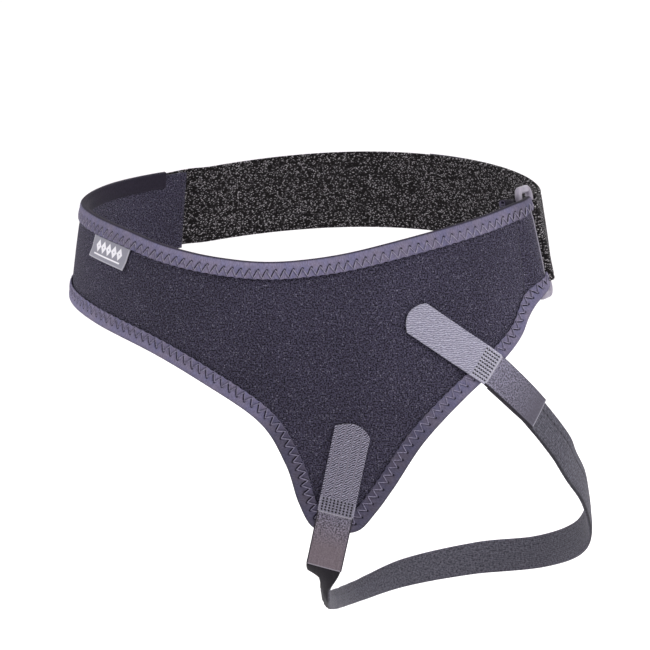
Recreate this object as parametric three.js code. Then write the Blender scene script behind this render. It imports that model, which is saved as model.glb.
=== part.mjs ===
// A one-sided hernia belt, in the form it has when it is worn.
// A neoprene panel runs from the wearer's left side over the belly and round the right hip to the back.
// Its point reaches down into the left groin, and a tape binds its upper and lower edges.
// At the left side the panel is folded round one bar of a plastic ring. A plush back strap, sewn to the
// panel's other end, passes through the ring and folds back on itself, where a hook tab closes it.
// A padded strap goes round the left thigh. Each of its ends has a sewn cover and a hook tab that
// grips the panel, one at the hip and one at the groin.
// Millimetres, +Z up. The wearer faces -Y, and the wearer's left is +X.
// The origin is on the body's axis, at the belt's level.
import * as THREE from "three";

// The body that the belt is shaped on
const HIP_WIDTH = 376;
const HIP_FRONT = 115;
const HIP_BACK = 126;
const CROTCH_DROP = 255;

// Panel and its binding tape
const TIP_DROP = 183;
const SIDE_RISE = 38;
const PANEL_THICKNESS = 3;
const BINDING_WIDTH = 11.5;
const BINDING_THICKNESS = 0.9;
const FOLD_LENGTH = 24; // the panel's end, turned back inside round the ring's bar

// Ring at the left side
const RING_BAR_WIDTH = 5;
const RING_BAR_THICKNESS = 4.5;
const RING_SLOT_WIDTH = 16;
const RING_SLOT_MARGIN = 2.2; // between the panel's end and the slot's end
const RING_CORNER = 5;
const RING_LIFT = -2.8; // the ring's middle from the body's surface
const RING_LEAN = 5; // degrees, its top inwards
const RING_RAMP = 22; // stretch in which the belt rises to the ring

// Plush back strap and its closure
const STRAP_WIDTH = 57;
const STRAP_THICKNESS = 2;
const STRAP_SINK = 1.5; // the strap draws into the body by this much
const STRAP_BACK_RISE = 17; // the strap's middle at the back above its ends
const STRAP_SEAM = 17; // overlap on the panel's end
const STRAP_SEAM_RAMP = 20;
const STRAP_RETURN = 130; // length folded back past the ring
const CLOSURE_LENGTH = 38;

// Thigh strap, hook tabs and sewn covers
const THIGH_STRAP_WIDTH = 24;
const THIGH_STRAP_THICKNESS = 4;
const TAB_WIDTH = 24;
const TAB_THICKNESS = 1.6;
const TAB_ROUNDING = 6; // height of the arc that ends a tab
const TAB_RAMP = 14; // stretch in which a tab climbs onto the binding
const TAB_BAND = 14; // stitched band at the tab's other end
const COVER_THICKNESS = 1.1;
const HIP_TAB_LENGTH = 68;
const HIP_COVER_LENGTH = 50;
const GROIN_TAB_LENGTH = 64;
const GROIN_COVER_LENGTH = 41;
const HIP_STRAP_START = 6; // where the strap starts under its cover
const GROIN_STRAP_START = 22;

// Woven label under the upper binding
const LABEL_WIDTH = 40;
const LABEL_HEIGHT = 16;
const LABEL_THICKNESS = 0.8;

const CLEARANCE = 0.3; // between sewn layers
const SOFT_CLEARANCE = 0.5; // between the padded strap and what lies on it
const PASS_CLEARANCE = 0.45; // between a ring's bar and the layer folded round it

// Horizontal sections of the body. Heights are shares of CROTCH_DROP, and the other columns are shares
// of half HIP_WIDTH, HIP_FRONT and HIP_BACK.
const BODY_SECTIONS = [
  { height: -1.06, half: 1.0, front: 0.61, back: 0.87 },
  { height: -0.9, half: 1.0, front: 0.74, back: 0.92 },
  { height: -0.745, half: 0.995, front: 0.86, back: 0.97 },
  { height: -0.59, half: 0.973, front: 0.94, back: 1.0 },
  { height: -0.39, half: 0.942, front: 1.0, back: 1.0 },
  { height: -0.157, half: 0.9, front: 1.0, back: 0.968 },
  { height: 0, half: 0.872, front: 0.974, back: 0.93 },
  { height: 0.118, half: 0.846, front: 0.94, back: 0.89 },
  { height: 0.235, half: 0.82, front: 0.905, back: 0.857 },
  { height: 0.353, half: 0.787, front: 0.87, back: 0.825 },
];
const GIRTH_LEVEL = -0.157; // height at which lengths round the body are measured

// The panel's finished outline, from its back end to the ring. lowerAlong and upperAlong are shares of
// half the girth, from the belly's middle and positive to the wearer's left. lower is a share of
// TIP_DROP and upper a share of SIDE_RISE.
const PANEL_OUTLINE = [
  { lowerAlong: -0.725, lower: -0.131, upperAlong: -0.725, upper: 1.0 },
  { lowerAlong: -0.585, lower: -0.183, upperAlong: -0.585, upper: 0.85 },
  { lowerAlong: -0.444, lower: -0.23, upperAlong: -0.473, upper: 0.7 },
  { lowerAlong: -0.325, lower: -0.276, upperAlong: -0.363, upper: 0.58 },
  { lowerAlong: -0.198, lower: -0.35, upperAlong: -0.264, upper: 0.42 },
  { lowerAlong: -0.097, lower: -0.459, upperAlong: -0.187, upper: 0.23 },
  { lowerAlong: -0.02, lower: -0.583, upperAlong: -0.121, upper: 0.11 },
  { lowerAlong: 0.014, lower: -0.735, upperAlong: -0.066, upper: 0.05 },
  { lowerAlong: 0.029, lower: -0.88, upperAlong: -0.026, upper: 0.03 },
  { lowerAlong: 0.046, lower: -0.978, upperAlong: 0.011, upper: 0.045 },
  { lowerAlong: 0.076, lower: -1.0, upperAlong: 0.048, upper: 0.09 },
  { lowerAlong: 0.108, lower: -0.99, upperAlong: 0.088, upper: 0.16 },
  { lowerAlong: 0.133, lower: -0.92, upperAlong: 0.127, upper: 0.25 },
  { lowerAlong: 0.16, lower: -0.825, upperAlong: 0.171, upper: 0.37 },
  { lowerAlong: 0.207, lower: -0.652, upperAlong: 0.22, upper: 0.5 },
  { lowerAlong: 0.268, lower: -0.503, upperAlong: 0.277, upper: 0.645 },
  { lowerAlong: 0.339, lower: -0.372, upperAlong: 0.335, upper: 0.785 },
  { lowerAlong: 0.379, lower: -0.288, upperAlong: 0.377, upper: 0.885 },
  { lowerAlong: 0.408, lower: -0.188, upperAlong: 0.408, upper: 0.95 },
  { lowerAlong: 0.437, lower: -0.143, upperAlong: 0.437, upper: 1.0 },
];

// Where each hook tab joins its cover, as shares of half the girth and of TIP_DROP, and the directions
// of the tab and of the cover, in degrees on the unrolled body.
const TAB_JOINS = [
  { at: "hip", along: 0.3154, height: -0.399, slope: -37.5, coverSlope: -44 },
  { at: "groin", along: 0.0794, height: -0.9164, slope: -104, coverSlope: -105 },
];
const LABEL_ALONG = -0.287; // the label's middle, as a share of half the girth

// The thigh strap's way round the thigh between its two covers: across as a share of half HIP_WIDTH,
// back as a share of HIP_BACK and height as a share of CROTCH_DROP. wide and thick are shares of the
// strap's width and thickness, which bunch up in the crotch.
const THIGH_ROUTE = [
  { across: 0.965, back: -0.194, height: -0.53, wide: 1, thick: 1 },
  { across: 0.99, back: -0.088, height: -0.588, wide: 1, thick: 1 },
  { across: 1.022, back: 0.081, height: -0.663, wide: 1, thick: 1 },
  { across: 1.032, back: 0.227, height: -0.738, wide: 1, thick: 1 },
  { across: 1.024, back: 0.363, height: -0.8, wide: 1, thick: 1 },
  { across: 0.975, back: 0.53, height: -0.869, wide: 1, thick: 1 },
  { across: 0.8, back: 0.833, height: -0.955, wide: 1, thick: 1 },
  { across: 0.53, back: 0.94, height: -1.0, wide: 1, thick: 1 },
  { across: 0.27, back: 0.76, height: -1.03, wide: 0.9, thick: 1.1 },
  { across: 0.12, back: 0.4, height: -1.045, wide: 0.7, thick: 1.3 },
  { across: 0.09, back: 0.0, height: -1.015, wide: 0.6, thick: 1.5 },
  { across: 0.112, back: -0.34, height: -0.965, wide: 0.5, thick: 1.6 },
  { across: 0.138, back: -0.6, height: -0.9, wide: 0.66, thick: 1.3 },
];
const THIGH_MIDDLE = [{ across: 0.52, back: 0.095 }]; // in the same shares
const COVERED_WIDTH = 0.96; // share of the thigh strap's width where a cover lies on it

// Number of flat stretches
const STEPS_PER_ROW = 4;
const PANEL_ROWS = 5;
const BEND_STEPS = 6;
const BACK_STEPS = 3;
const STRAP_STEP = 9;
const TAB_STEPS = 10;
const TAB_COLUMNS = 4;
const CORNER_STEPS = 5;

// Numbers from 0 to 1 in equal steps
const shares = (steps) => Array.from({ length: steps + 1 }, (_, i) => i / steps);

// Value of a column where the key column is key, on a smooth curve through a table's rows.
function smooth(rows, keyColumn, column, key) {
  const last = rows.length - 1;
  let i = 0;
  while (i < last - 1 && rows[i + 1][keyColumn] < key) i += 1;
  const slope = (k) => {
    const a = rows[Math.max(k - 1, 0)];
    const b = rows[Math.min(k + 1, last)];
    return (b[column] - a[column]) / (b[keyColumn] - a[keyColumn]);
  };
  const span = rows[i + 1][keyColumn] - rows[i][keyColumn];
  const t = THREE.MathUtils.clamp((key - rows[i][keyColumn]) / span, 0, 1);
  const rise = rows[i + 1][column] - rows[i][column];
  const start = slope(i) * span;
  const end = slope(i + 1) * span;
  return (
    rows[i][column] +
    t * start +
    t * t * (3 * rise - 2 * start - end) +
    t * t * t * (start + end - 2 * rise)
  );
}

// The body's half width, front and back at a height
function bodySection(height) {
  const share = height / CROTCH_DROP;
  const column = (name) => smooth(BODY_SECTIONS, "height", name, share);
  return {
    half: (column("half") * HIP_WIDTH) / 2,
    front: column("front") * HIP_FRONT,
    back: column("back") * HIP_BACK,
  };
}

// Point of the body at a turn from the front, in radians, and a height
function bodyPoint(turn, height) {
  const { half, front, back } = bodySection(height);
  const depth = Math.cos(turn) > 0 ? front : back;
  return new THREE.Vector3(half * Math.sin(turn), -depth * Math.cos(turn), height);
}

// Turn and length round the body, measured at the girth's level from the belly's middle
const girthTable = [{ turn: 0, along: 0 }];
const GIRTH_STEPS = 360;
for (let i = 1; i <= GIRTH_STEPS; i += 1) {
  const before = girthTable[i - 1];
  const turn = (Math.PI * i) / GIRTH_STEPS;
  const level = GIRTH_LEVEL * CROTCH_DROP;
  const step = bodyPoint(turn, level).distanceTo(bodyPoint(before.turn, level));
  girthTable.push({ turn, along: before.along + step });
}
const HALF_GIRTH = girthTable[GIRTH_STEPS].along;

function turnAt(along) {
  const rounds = Math.round(along / (2 * HALF_GIRTH));
  const rest = along - rounds * 2 * HALF_GIRTH;
  const distance = Math.min(Math.abs(rest), HALF_GIRTH);
  let i = 0;
  while (i < GIRTH_STEPS - 1 && girthTable[i + 1].along < distance) i += 1;
  const a = girthTable[i];
  const b = girthTable[i + 1];
  const turn = a.turn + ((b.turn - a.turn) * (distance - a.along)) / (b.along - a.along);
  return rounds * 2 * Math.PI + Math.sign(rest) * turn;
}

// Outward direction of the body at a length along the belt and a height
function bodyNormal(along, height) {
  const small = 0.01;
  const turn = turnAt(along);
  const sideways = bodyPoint(turn + small, height).sub(bodyPoint(turn - small, height));
  const upwards = bodyPoint(turn, height + 1).sub(bodyPoint(turn, height - 1));
  return sideways.cross(upwards).normalize();
}

// Point at a length along the belt and a height, lifted off the body
function formPoint(along, height, lift) {
  return bodyPoint(turnAt(along), height).addScaledVector(bodyNormal(along, height), lift);
}

// Real length of one unit of along at a height
function stretch(height) {
  return bodySection(height).half / bodySection(GIRTH_LEVEL * CROTCH_DROP).half;
}

// Finished edges of the panel, in along and height
const outlineCurve = (alongColumn, heightColumn, size) =>
  new THREE.SplineCurve(
    PANEL_OUTLINE.map(
      (row) => new THREE.Vector2(row[alongColumn] * HALF_GIRTH, row[heightColumn] * size),
    ),
  );
const lowerEdge = outlineCurve("lowerAlong", "lower", TIP_DROP);
const upperEdge = outlineCurve("upperAlong", "upper", SIDE_RISE);

// Share of an edge at which it reaches a length along the belt
function shareAt(edge, along) {
  let low = 0;
  let high = 1;
  const halvings = 30;
  for (let i = 0; i < halvings; i += 1) {
    const middle = (low + high) / 2;
    if (edge.getPoint(middle).x < along) low = middle;
    else high = middle;
  }
  return low;
}

// The panel's stations along its edges, one of them where the tape starts
const PANEL_STEPS = (PANEL_OUTLINE.length - 1) * STEPS_PER_ROW;
const TAPE_START = shareAt(lowerEdge, lowerEdge.getPoint(0).x + STRAP_SEAM + CLEARANCE);
const PANEL_SHARES = shares(PANEL_STEPS)
  .filter((share) => Math.abs(share - TAPE_START) > 0.3 / PANEL_STEPS)
  .concat(TAPE_START)
  .sort((a, b) => a - b);

// A point inside an edge by a distance. side is 1 for the lower edge and -1 for the upper edge.
// At the panel's two ends the point stays straight above or below the edge's end.
function inset(edge, share, side, distance) {
  const small = 0.002;
  const a = edge.getPoint(Math.max(share - small, 0));
  const b = edge.getPoint(Math.min(share + small, 1));
  const direction = b.sub(a).normalize();
  const inward = new THREE.Vector2(-direction.y, direction.x).multiplyScalar(side);
  const upright = new THREE.Vector2(0, 1 / inward.y);
  const endShare = 0.06;
  const middle = Math.min(share, 1 - share) / endShare;
  inward.lerp(upright, 1 - THREE.MathUtils.smoothstep(middle, 0, 1));
  return edge.getPoint(share).addScaledVector(inward, distance);
}

// The ring's place and directions: rear along the belt, rise upwards and out from the body
const panelEnd = lowerEdge.getPoint(1);
const panelEndTop = upperEdge.getPoint(1);
const RING_HALF_PITCH = (RING_SLOT_WIDTH + RING_BAR_WIDTH) / 2;
const RING_HALF_SLOT = (panelEndTop.y - panelEnd.y) / 2 + RING_SLOT_MARGIN;
const RING_ALONG = panelEnd.x + RING_HALF_PITCH;
const RING_HEIGHT = (panelEnd.y + panelEndTop.y) / 2;
const ringUpright = bodyNormal(RING_ALONG, RING_HEIGHT);
const ringRear = new THREE.Vector3(0, 0, 1).cross(ringUpright).normalize();
const ringOut = ringUpright
  .clone()
  .applyAxisAngle(ringRear, -THREE.MathUtils.degToRad(RING_LEAN));
const ringRise = new THREE.Vector3().crossVectors(ringOut, ringRear);
const ringMiddle = formPoint(RING_ALONG, RING_HEIGHT, 0);
const ringPoint = (rear, rise, out) =>
  ringMiddle
    .clone()
    .addScaledVector(ringRear, rear)
    .addScaledVector(ringRise, rise)
    .addScaledVector(ringOut, out);

// Point of the belt, which lies flat where it meets the ring and follows the body elsewhere
function beltPoint(along, height, lift) {
  const away = Math.abs(along - RING_ALONG) - RING_HALF_PITCH;
  const flat = 1 - THREE.MathUtils.smoothstep(away, 0, RING_RAMP);
  const onBody = formPoint(along, height, lift);
  return onBody.lerp(ringPoint(along - RING_ALONG, height - RING_HEIGHT, lift), flat);
}

// Radius of the inner skin of what is folded round the ring's bars: the strap's, and the panel's with
// the tape under it
const STRAP_BEND = RING_BAR_WIDTH / 2 + PASS_CLEARANCE;
const BEND_RADIUS = STRAP_BEND + BINDING_THICKNESS + CLEARANCE;

// Lift of the panel's inner skin
function panelLift(along) {
  const ramp = THREE.MathUtils.smoothstep(along, panelEnd.x - RING_RAMP, panelEnd.x);
  return ramp * (RING_LIFT + BEND_RADIUS);
}
const panelPoint = (along, height, out) =>
  beltPoint(along, height, panelLift(along) + out);

// The panel's way round the ring's bar and back inside: a turn round the bar, then a length back
const FOLD_STATIONS = [
  ...shares(BEND_STEPS)
    .slice(1)
    .map((share) => ({ turn: Math.PI * share, back: 0 })),
  ...shares(BACK_STEPS)
    .slice(1)
    .map((share) => ({ turn: Math.PI, back: share * FOLD_LENGTH })),
];
const FOLD_GAP = 2 * (BINDING_THICKNESS + CLEARANCE) + CLEARANCE;
function foldPoint({ turn, back }, height, out) {
  const radius = BEND_RADIUS + out;
  if (back === 0) {
    const rear = radius * Math.sin(turn) - RING_HALF_PITCH;
    return ringPoint(rear, height - RING_HEIGHT, RING_LIFT + radius * Math.cos(turn));
  }
  const along = panelEnd.x - back;
  const closed = THREE.MathUtils.smoothstep(back, 0, FOLD_LENGTH);
  const resting = panelLift(along) - FOLD_GAP - out;
  return beltPoint(along, height, THREE.MathUtils.lerp(RING_LIFT - radius, resting, closed));
}

// A closed body from its corners and triangles, with its faces pointing out
function body(name, corners, triangles, material) {
  let volume = 0;
  triangles.forEach(([a, b, c]) => {
    volume += corners[a].dot(corners[b].clone().cross(corners[c]));
  });
  const index = triangles.flatMap(([a, b, c]) => (volume > 0 ? [a, b, c] : [a, c, b]));
  const geometry = new THREE.BufferGeometry().setFromPoints(corners);
  geometry.setIndex(index);
  geometry.computeVertexNormals();
  const mesh = new THREE.Mesh(geometry, material);
  mesh.name = name;
  return mesh;
}

// Two triangles over four corners, split along the shorter diagonal
function quad(corners, a, b, c, d) {
  const split = corners[a].distanceTo(corners[c]) <= corners[b].distanceTo(corners[d]);
  return split
    ? [
        [a, b, c],
        [a, c, d],
      ]
    : [
        [b, c, d],
        [b, d, a],
      ];
}

// A closed sheet between two skins, each a list of rows of points
function sheet(name, outer, inner, material) {
  const rows = outer.length;
  const columns = outer[0].length;
  const corners = [...outer.flat(), ...inner.flat()];
  const at = (skin, i, j) => (skin * rows + i) * columns + j;
  const triangles = [];
  const add = (a, b, c, d) => triangles.push(...quad(corners, a, b, c, d));
  const right = columns - 1;
  const last = rows - 1;
  for (let i = 0; i < last; i += 1) {
    for (let j = 0; j < right; j += 1) {
      add(at(0, i, j), at(0, i, j + 1), at(0, i + 1, j + 1), at(0, i + 1, j));
      add(at(1, i, j), at(1, i + 1, j), at(1, i + 1, j + 1), at(1, i, j + 1));
    }
    add(at(0, i, 0), at(0, i + 1, 0), at(1, i + 1, 0), at(1, i, 0));
    add(at(0, i, right), at(1, i, right), at(1, i + 1, right), at(0, i + 1, right));
  }
  for (let j = 0; j < right; j += 1) {
    add(at(0, 0, j), at(1, 0, j), at(1, 0, j + 1), at(0, 0, j + 1));
    add(at(0, last, j), at(0, last, j + 1), at(1, last, j + 1), at(1, last, j));
  }
  return body(name, corners, triangles, material);
}

// A solid through rings of points, closed on itself or capped at both ends
function sweep(name, rings, closed, material) {
  const sides = rings[0].length;
  const corners = rings.flat();
  const triangles = [];
  const stretches = closed ? rings.length : rings.length - 1;
  for (let i = 0; i < stretches; i += 1) {
    const next = (i + 1) % rings.length;
    for (let j = 0; j < sides; j += 1) {
      const k = (j + 1) % sides;
      const four = [i * sides + j, i * sides + k, next * sides + k, next * sides + j];
      triangles.push(...quad(corners, ...four));
    }
  }
  if (!closed) {
    const last = (rings.length - 1) * sides;
    for (let j = 1; j < sides - 1; j += 1) {
      triangles.push([0, j + 1, j], [last, last + j, last + j + 1]);
    }
  }
  return body(name, corners, triangles, material);
}

// Corners of a flat bar's section with bevelled edges, as across and out
function bevelledSection(width, thickness, bevel) {
  const w = width / 2;
  const t = thickness / 2;
  const b = Math.min(bevel, t * 0.8);
  return [
    [w, -t + b],
    [w, t - b],
    [w - b, t],
    [-w + b, t],
    [-w, t - b],
    [-w, -t + b],
    [-w + b, -t],
    [w - b, -t],
  ];
}

const materials = {
  neoprene: new THREE.MeshStandardMaterial({ color: 0x3a3644, roughness: 0.95 }),
  binding: new THREE.MeshStandardMaterial({ color: 0x6a6579, roughness: 0.85 }),
  plush: new THREE.MeshStandardMaterial({ color: 0x4b4a4c, roughness: 1 }),
  padding: new THREE.MeshStandardMaterial({ color: 0x47454f, roughness: 0.9 }),
  tab: new THREE.MeshStandardMaterial({ color: 0x85838f, roughness: 0.8 }),
  ring: new THREE.MeshStandardMaterial({ color: 0xb4aebb, roughness: 0.45 }),
  label: new THREE.MeshStandardMaterial({ color: 0x8b8a92, roughness: 0.6 }),
};

// Distance from the finished outline to the panel's own edge, inside the tape's turn
const TURN_RADIUS = PANEL_THICKNESS / 2 + CLEARANCE;
const EDGE_INSET = TURN_RADIUS + BINDING_THICKNESS;

// One station of the panel, from its lower edge to its upper edge, as points of along and height
function panelStation(share) {
  const lower = inset(lowerEdge, share, 1, BINDING_WIDTH);
  const upper = inset(upperEdge, share, -1, BINDING_WIDTH);
  return [
    inset(lowerEdge, share, 1, EDGE_INSET),
    ...shares(PANEL_ROWS).map((t) => lower.clone().lerp(upper, t)),
    inset(upperEdge, share, -1, EDGE_INSET),
  ];
}

function frontPanel() {
  const stations = PANEL_SHARES.map(panelStation);
  const skin = (out) => [
    ...stations.map((station) => station.map((p) => panelPoint(p.x, p.y, out))),
    ...FOLD_STATIONS.map((fold) => stations.at(-1).map((p) => foldPoint(fold, p.y, out))),
  ];
  return sheet("front_panel", skin(PANEL_THICKNESS), skin(0), materials.neoprene);
}

// The tape's section at a share of an edge: points on the panel and their distance out from it
function tapeSection(edge, share, side, radius) {
  const margin = inset(edge, share, side, BINDING_WIDTH);
  const start = inset(edge, share, side, EDGE_INSET);
  const tip = inset(edge, share, side, EDGE_INSET - 1).sub(start);
  const middle = PANEL_THICKNESS / 2;
  const turns = shares(4).map((t) => Math.PI * (0.5 - t));
  return [
    { p: margin, out: middle + radius },
    ...turns.map((turn) => ({
      p: start.clone().addScaledVector(tip, radius * Math.cos(turn)),
      out: middle + radius * Math.sin(turn),
    })),
    { p: margin, out: middle - radius },
  ];
}

// A tape folded over an edge of the panel, from the back strap's end to the end of the panel's fold
function binding(name, edge, side) {
  const taped = PANEL_SHARES.filter((share) => share >= TAPE_START);
  const skin = (radius) => [
    ...taped.map((share) =>
      tapeSection(edge, share, side, radius).map(({ p, out }) => panelPoint(p.x, p.y, out)),
    ),
    ...FOLD_STATIONS.map((fold) =>
      tapeSection(edge, 1, side, radius).map(({ p, out }) => foldPoint(fold, p.y, out)),
    ),
  ];
  return sheet(name, skin(TURN_RADIUS + BINDING_THICKNESS), skin(TURN_RADIUS), materials.binding);
}

function sideRing() {
  const halfPitch = RING_HALF_PITCH;
  const halfRise = RING_HALF_SLOT + RING_BAR_WIDTH / 2;
  const section = bevelledSection(RING_BAR_WIDTH, RING_BAR_THICKNESS, 1.4);
  const corners = [
    [1, 1, 0],
    [-1, 1, 90],
    [-1, -1, 180],
    [1, -1, 270],
  ];
  const rings = corners.flatMap(([right, up, from]) =>
    shares(CORNER_STEPS).map((share) => {
      const turn = THREE.MathUtils.degToRad(from + 90 * share);
      const rear = right * (halfPitch - RING_CORNER);
      const rise = up * (halfRise - RING_CORNER);
      return section.map(([across, out]) =>
        ringPoint(
          rear + (RING_CORNER + across) * Math.cos(turn),
          rise + (RING_CORNER + across) * Math.sin(turn),
          RING_LIFT + out,
        ),
      );
    }),
  );
  return sweep("side_ring", rings, true, materials.ring);
}

// The back strap's two ends along the belt, and its middle's height between them
const REAR_BAR_ALONG = RING_ALONG + RING_HALF_PITCH;
const STRAP_END = lowerEdge.getPoint(0).x + 2 * HALF_GIRTH;
const STRAP_SEAM_END = STRAP_END + STRAP_SEAM;
function strapHeight(along) {
  const share = (along - REAR_BAR_ALONG) / (STRAP_SEAM_END - REAR_BAR_ALONG);
  return RING_HEIGHT + STRAP_BACK_RISE * Math.sin(Math.PI * share);
}

// Lift of the inner skin of the strap's layer on the body
function strapLift(along) {
  const { smoothstep } = THREE.MathUtils;
  const ring = 1 - smoothstep(along, REAR_BAR_ALONG, REAR_BAR_ALONG + RING_RAMP);
  const seamStart = STRAP_END - CLEARANCE;
  const seam = smoothstep(along, seamStart - STRAP_SEAM_RAMP, seamStart);
  const atRing = RING_LIFT - STRAP_BEND - STRAP_THICKNESS;
  const atSeam = PANEL_THICKNESS + CLEARANCE;
  return ring * atRing + seam * atSeam - (1 - ring - seam) * STRAP_SINK;
}

// Lift of the inner skin of the layer that is folded back outside
function returnLift(along) {
  const ring = 1 - THREE.MathUtils.smoothstep(along, REAR_BAR_ALONG, REAR_BAR_ALONG + RING_RAMP);
  const resting = strapLift(along) + STRAP_THICKNESS + CLEARANCE;
  return THREE.MathUtils.lerp(resting, RING_LIFT + STRAP_BEND, ring);
}

// One row of points across the strap
function strapRow(along, lift, width) {
  return shares(2).map((share) =>
    beltPoint(along, strapHeight(along) + (share - 0.5) * width, lift),
  );
}

function backStrap() {
  const outer = [];
  const inner = [];
  const bodyLength = STRAP_SEAM_END - REAR_BAR_ALONG;
  const bodySteps = Math.round(bodyLength / STRAP_STEP);
  shares(bodySteps).forEach((share) => {
    const along = STRAP_SEAM_END - share * bodyLength;
    inner.push(strapRow(along, strapLift(along), STRAP_WIDTH));
    outer.push(strapRow(along, strapLift(along) + STRAP_THICKNESS, STRAP_WIDTH));
  });
  const bend = (turn, radius) =>
    shares(2).map((share) =>
      ringPoint(
        RING_HALF_PITCH - radius * Math.sin(turn),
        (share - 0.5) * STRAP_WIDTH,
        RING_LIFT - radius * Math.cos(turn),
      ),
    );
  for (let k = 1; k < BEND_STEPS; k += 1) {
    const turn = (Math.PI * k) / BEND_STEPS;
    inner.push(bend(turn, STRAP_BEND + STRAP_THICKNESS));
    outer.push(bend(turn, STRAP_BEND));
  }
  const returnSteps = Math.round(STRAP_RETURN / STRAP_STEP);
  shares(returnSteps).forEach((share) => {
    const along = REAR_BAR_ALONG + share * STRAP_RETURN;
    inner.push(strapRow(along, returnLift(along) + STRAP_THICKNESS, STRAP_WIDTH));
    outer.push(strapRow(along, returnLift(along), STRAP_WIDTH));
  });
  return sheet("back_strap", outer, inner, materials.plush);
}

// The hook tab at the free end of the back strap, which grips the strap's own plush
function closureTab() {
  const start = REAR_BAR_ALONG + STRAP_RETURN + CLEARANCE;
  const skin = (out) =>
    shares(6).map((share) =>
      shares(6).map((side) => {
        const across = (side - 0.5) * STRAP_WIDTH;
        const bulge = TAB_ROUNDING * (1 - (2 * side - 1) ** 2) * share;
        const along = start + share * (CLOSURE_LENGTH - TAB_ROUNDING) + bulge;
        const lift = strapLift(along) + STRAP_THICKNESS + CLEARANCE + out;
        return beltPoint(along, strapHeight(along) + across, lift);
      }),
    );
  return sheet("closure_tab", skin(STRAP_THICKNESS), skin(0), materials.tab);
}

// A line on the body along a hook tab and its cover. It gives the along and height of a point at a
// distance from the tab's rounded end and a distance across the line.
function tabLine(tab, tabLength) {
  const join = new THREE.Vector2(tab.along * HALF_GIRTH, tab.height * TIP_DROP);
  const way = (degrees) => {
    const turn = THREE.MathUtils.degToRad(degrees);
    return new THREE.Vector2(Math.cos(turn), Math.sin(turn));
  };
  const tabWay = way(tab.slope);
  const coverWay = way(tab.coverSlope);
  return (distance, across) => {
    const past = distance - tabLength;
    const turned = THREE.MathUtils.smoothstep(past, -TAB_BAND, TAB_BAND);
    const side = tabWay.clone().lerp(coverWay, turned).normalize();
    const step = tabWay.clone().multiplyScalar(Math.min(past, 0));
    step.addScaledVector(coverWay, Math.max(past, 0));
    step.addScaledVector(new THREE.Vector2(-side.y, side.x), across);
    const height = join.y + step.y;
    return { along: join.x + step.x / stretch(height), height };
  };
}
const hipLine = tabLine(TAB_JOINS[0], HIP_TAB_LENGTH);
const groinLine = tabLine(TAB_JOINS[1], GROIN_TAB_LENGTH);

// Lifts of the tab's and the cover's inner skins: on the panel, and on the binding's tape
const TAB_LOW = PANEL_THICKNESS + CLEARANCE;
const TAB_HIGH = TAB_LOW + BINDING_THICKNESS + CLEARANCE;

function hookTab(name, line, length) {
  const climb = length - TAB_BAND - TAB_RAMP;
  const skin = (out) =>
    shares(TAB_STEPS).map((share) =>
      shares(TAB_COLUMNS).map((side) => {
        const arc = TAB_ROUNDING * (2 * side - 1) ** 2 * (1 - share) ** 2;
        const distance = share * length + arc;
        const { along, height } = line(distance, (side - 0.5) * TAB_WIDTH);
        const onTape = THREE.MathUtils.smoothstep(distance, climb, climb + TAB_RAMP);
        return formPoint(along, height, THREE.MathUtils.lerp(TAB_LOW, TAB_HIGH, onTape) + out);
      }),
    );
  return sheet(name, skin(TAB_THICKNESS), skin(0), materials.tab);
}

function tabCover(name, line, tabLength, length) {
  const start = tabLength + CLEARANCE;
  const skin = (out) =>
    shares(6).map((share) =>
      shares(TAB_COLUMNS).map((side) => {
        const { along, height } = line(start + share * length, (side - 0.5) * TAB_WIDTH);
        return formPoint(along, height, TAB_HIGH + out);
      }),
    );
  return sheet(name, skin(COVER_THICKNESS), skin(0), materials.tab);
}

// The thigh strap's middle line and outward direction, under a cover and round the thigh
const STRAP_MIDDLE_LIFT = TAB_HIGH - SOFT_CLEARANCE - THIGH_STRAP_THICKNESS / 2;
function underCover(line, distances) {
  return distances.map((distance) => {
    const { along, height } = line(distance, 0);
    return {
      point: formPoint(along, height, STRAP_MIDDLE_LIFT),
      out: bodyNormal(along, height),
      size: new THREE.Vector3(COVERED_WIDTH, 1, 0),
    };
  });
}

function roundThigh() {
  const middleX = (THIGH_MIDDLE[0].across * HIP_WIDTH) / 2;
  const middleY = THIGH_MIDDLE[0].back * HIP_BACK;
  return THIGH_ROUTE.map((row) => {
    const point = new THREE.Vector3(
      (row.across * HIP_WIDTH) / 2,
      row.back * HIP_BACK,
      row.height * CROTCH_DROP,
    );
    return {
      point,
      out: new THREE.Vector3(point.x - middleX, point.y - middleY, 0).normalize(),
      size: new THREE.Vector3(row.wide, row.thick, 0),
    };
  });
}

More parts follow.
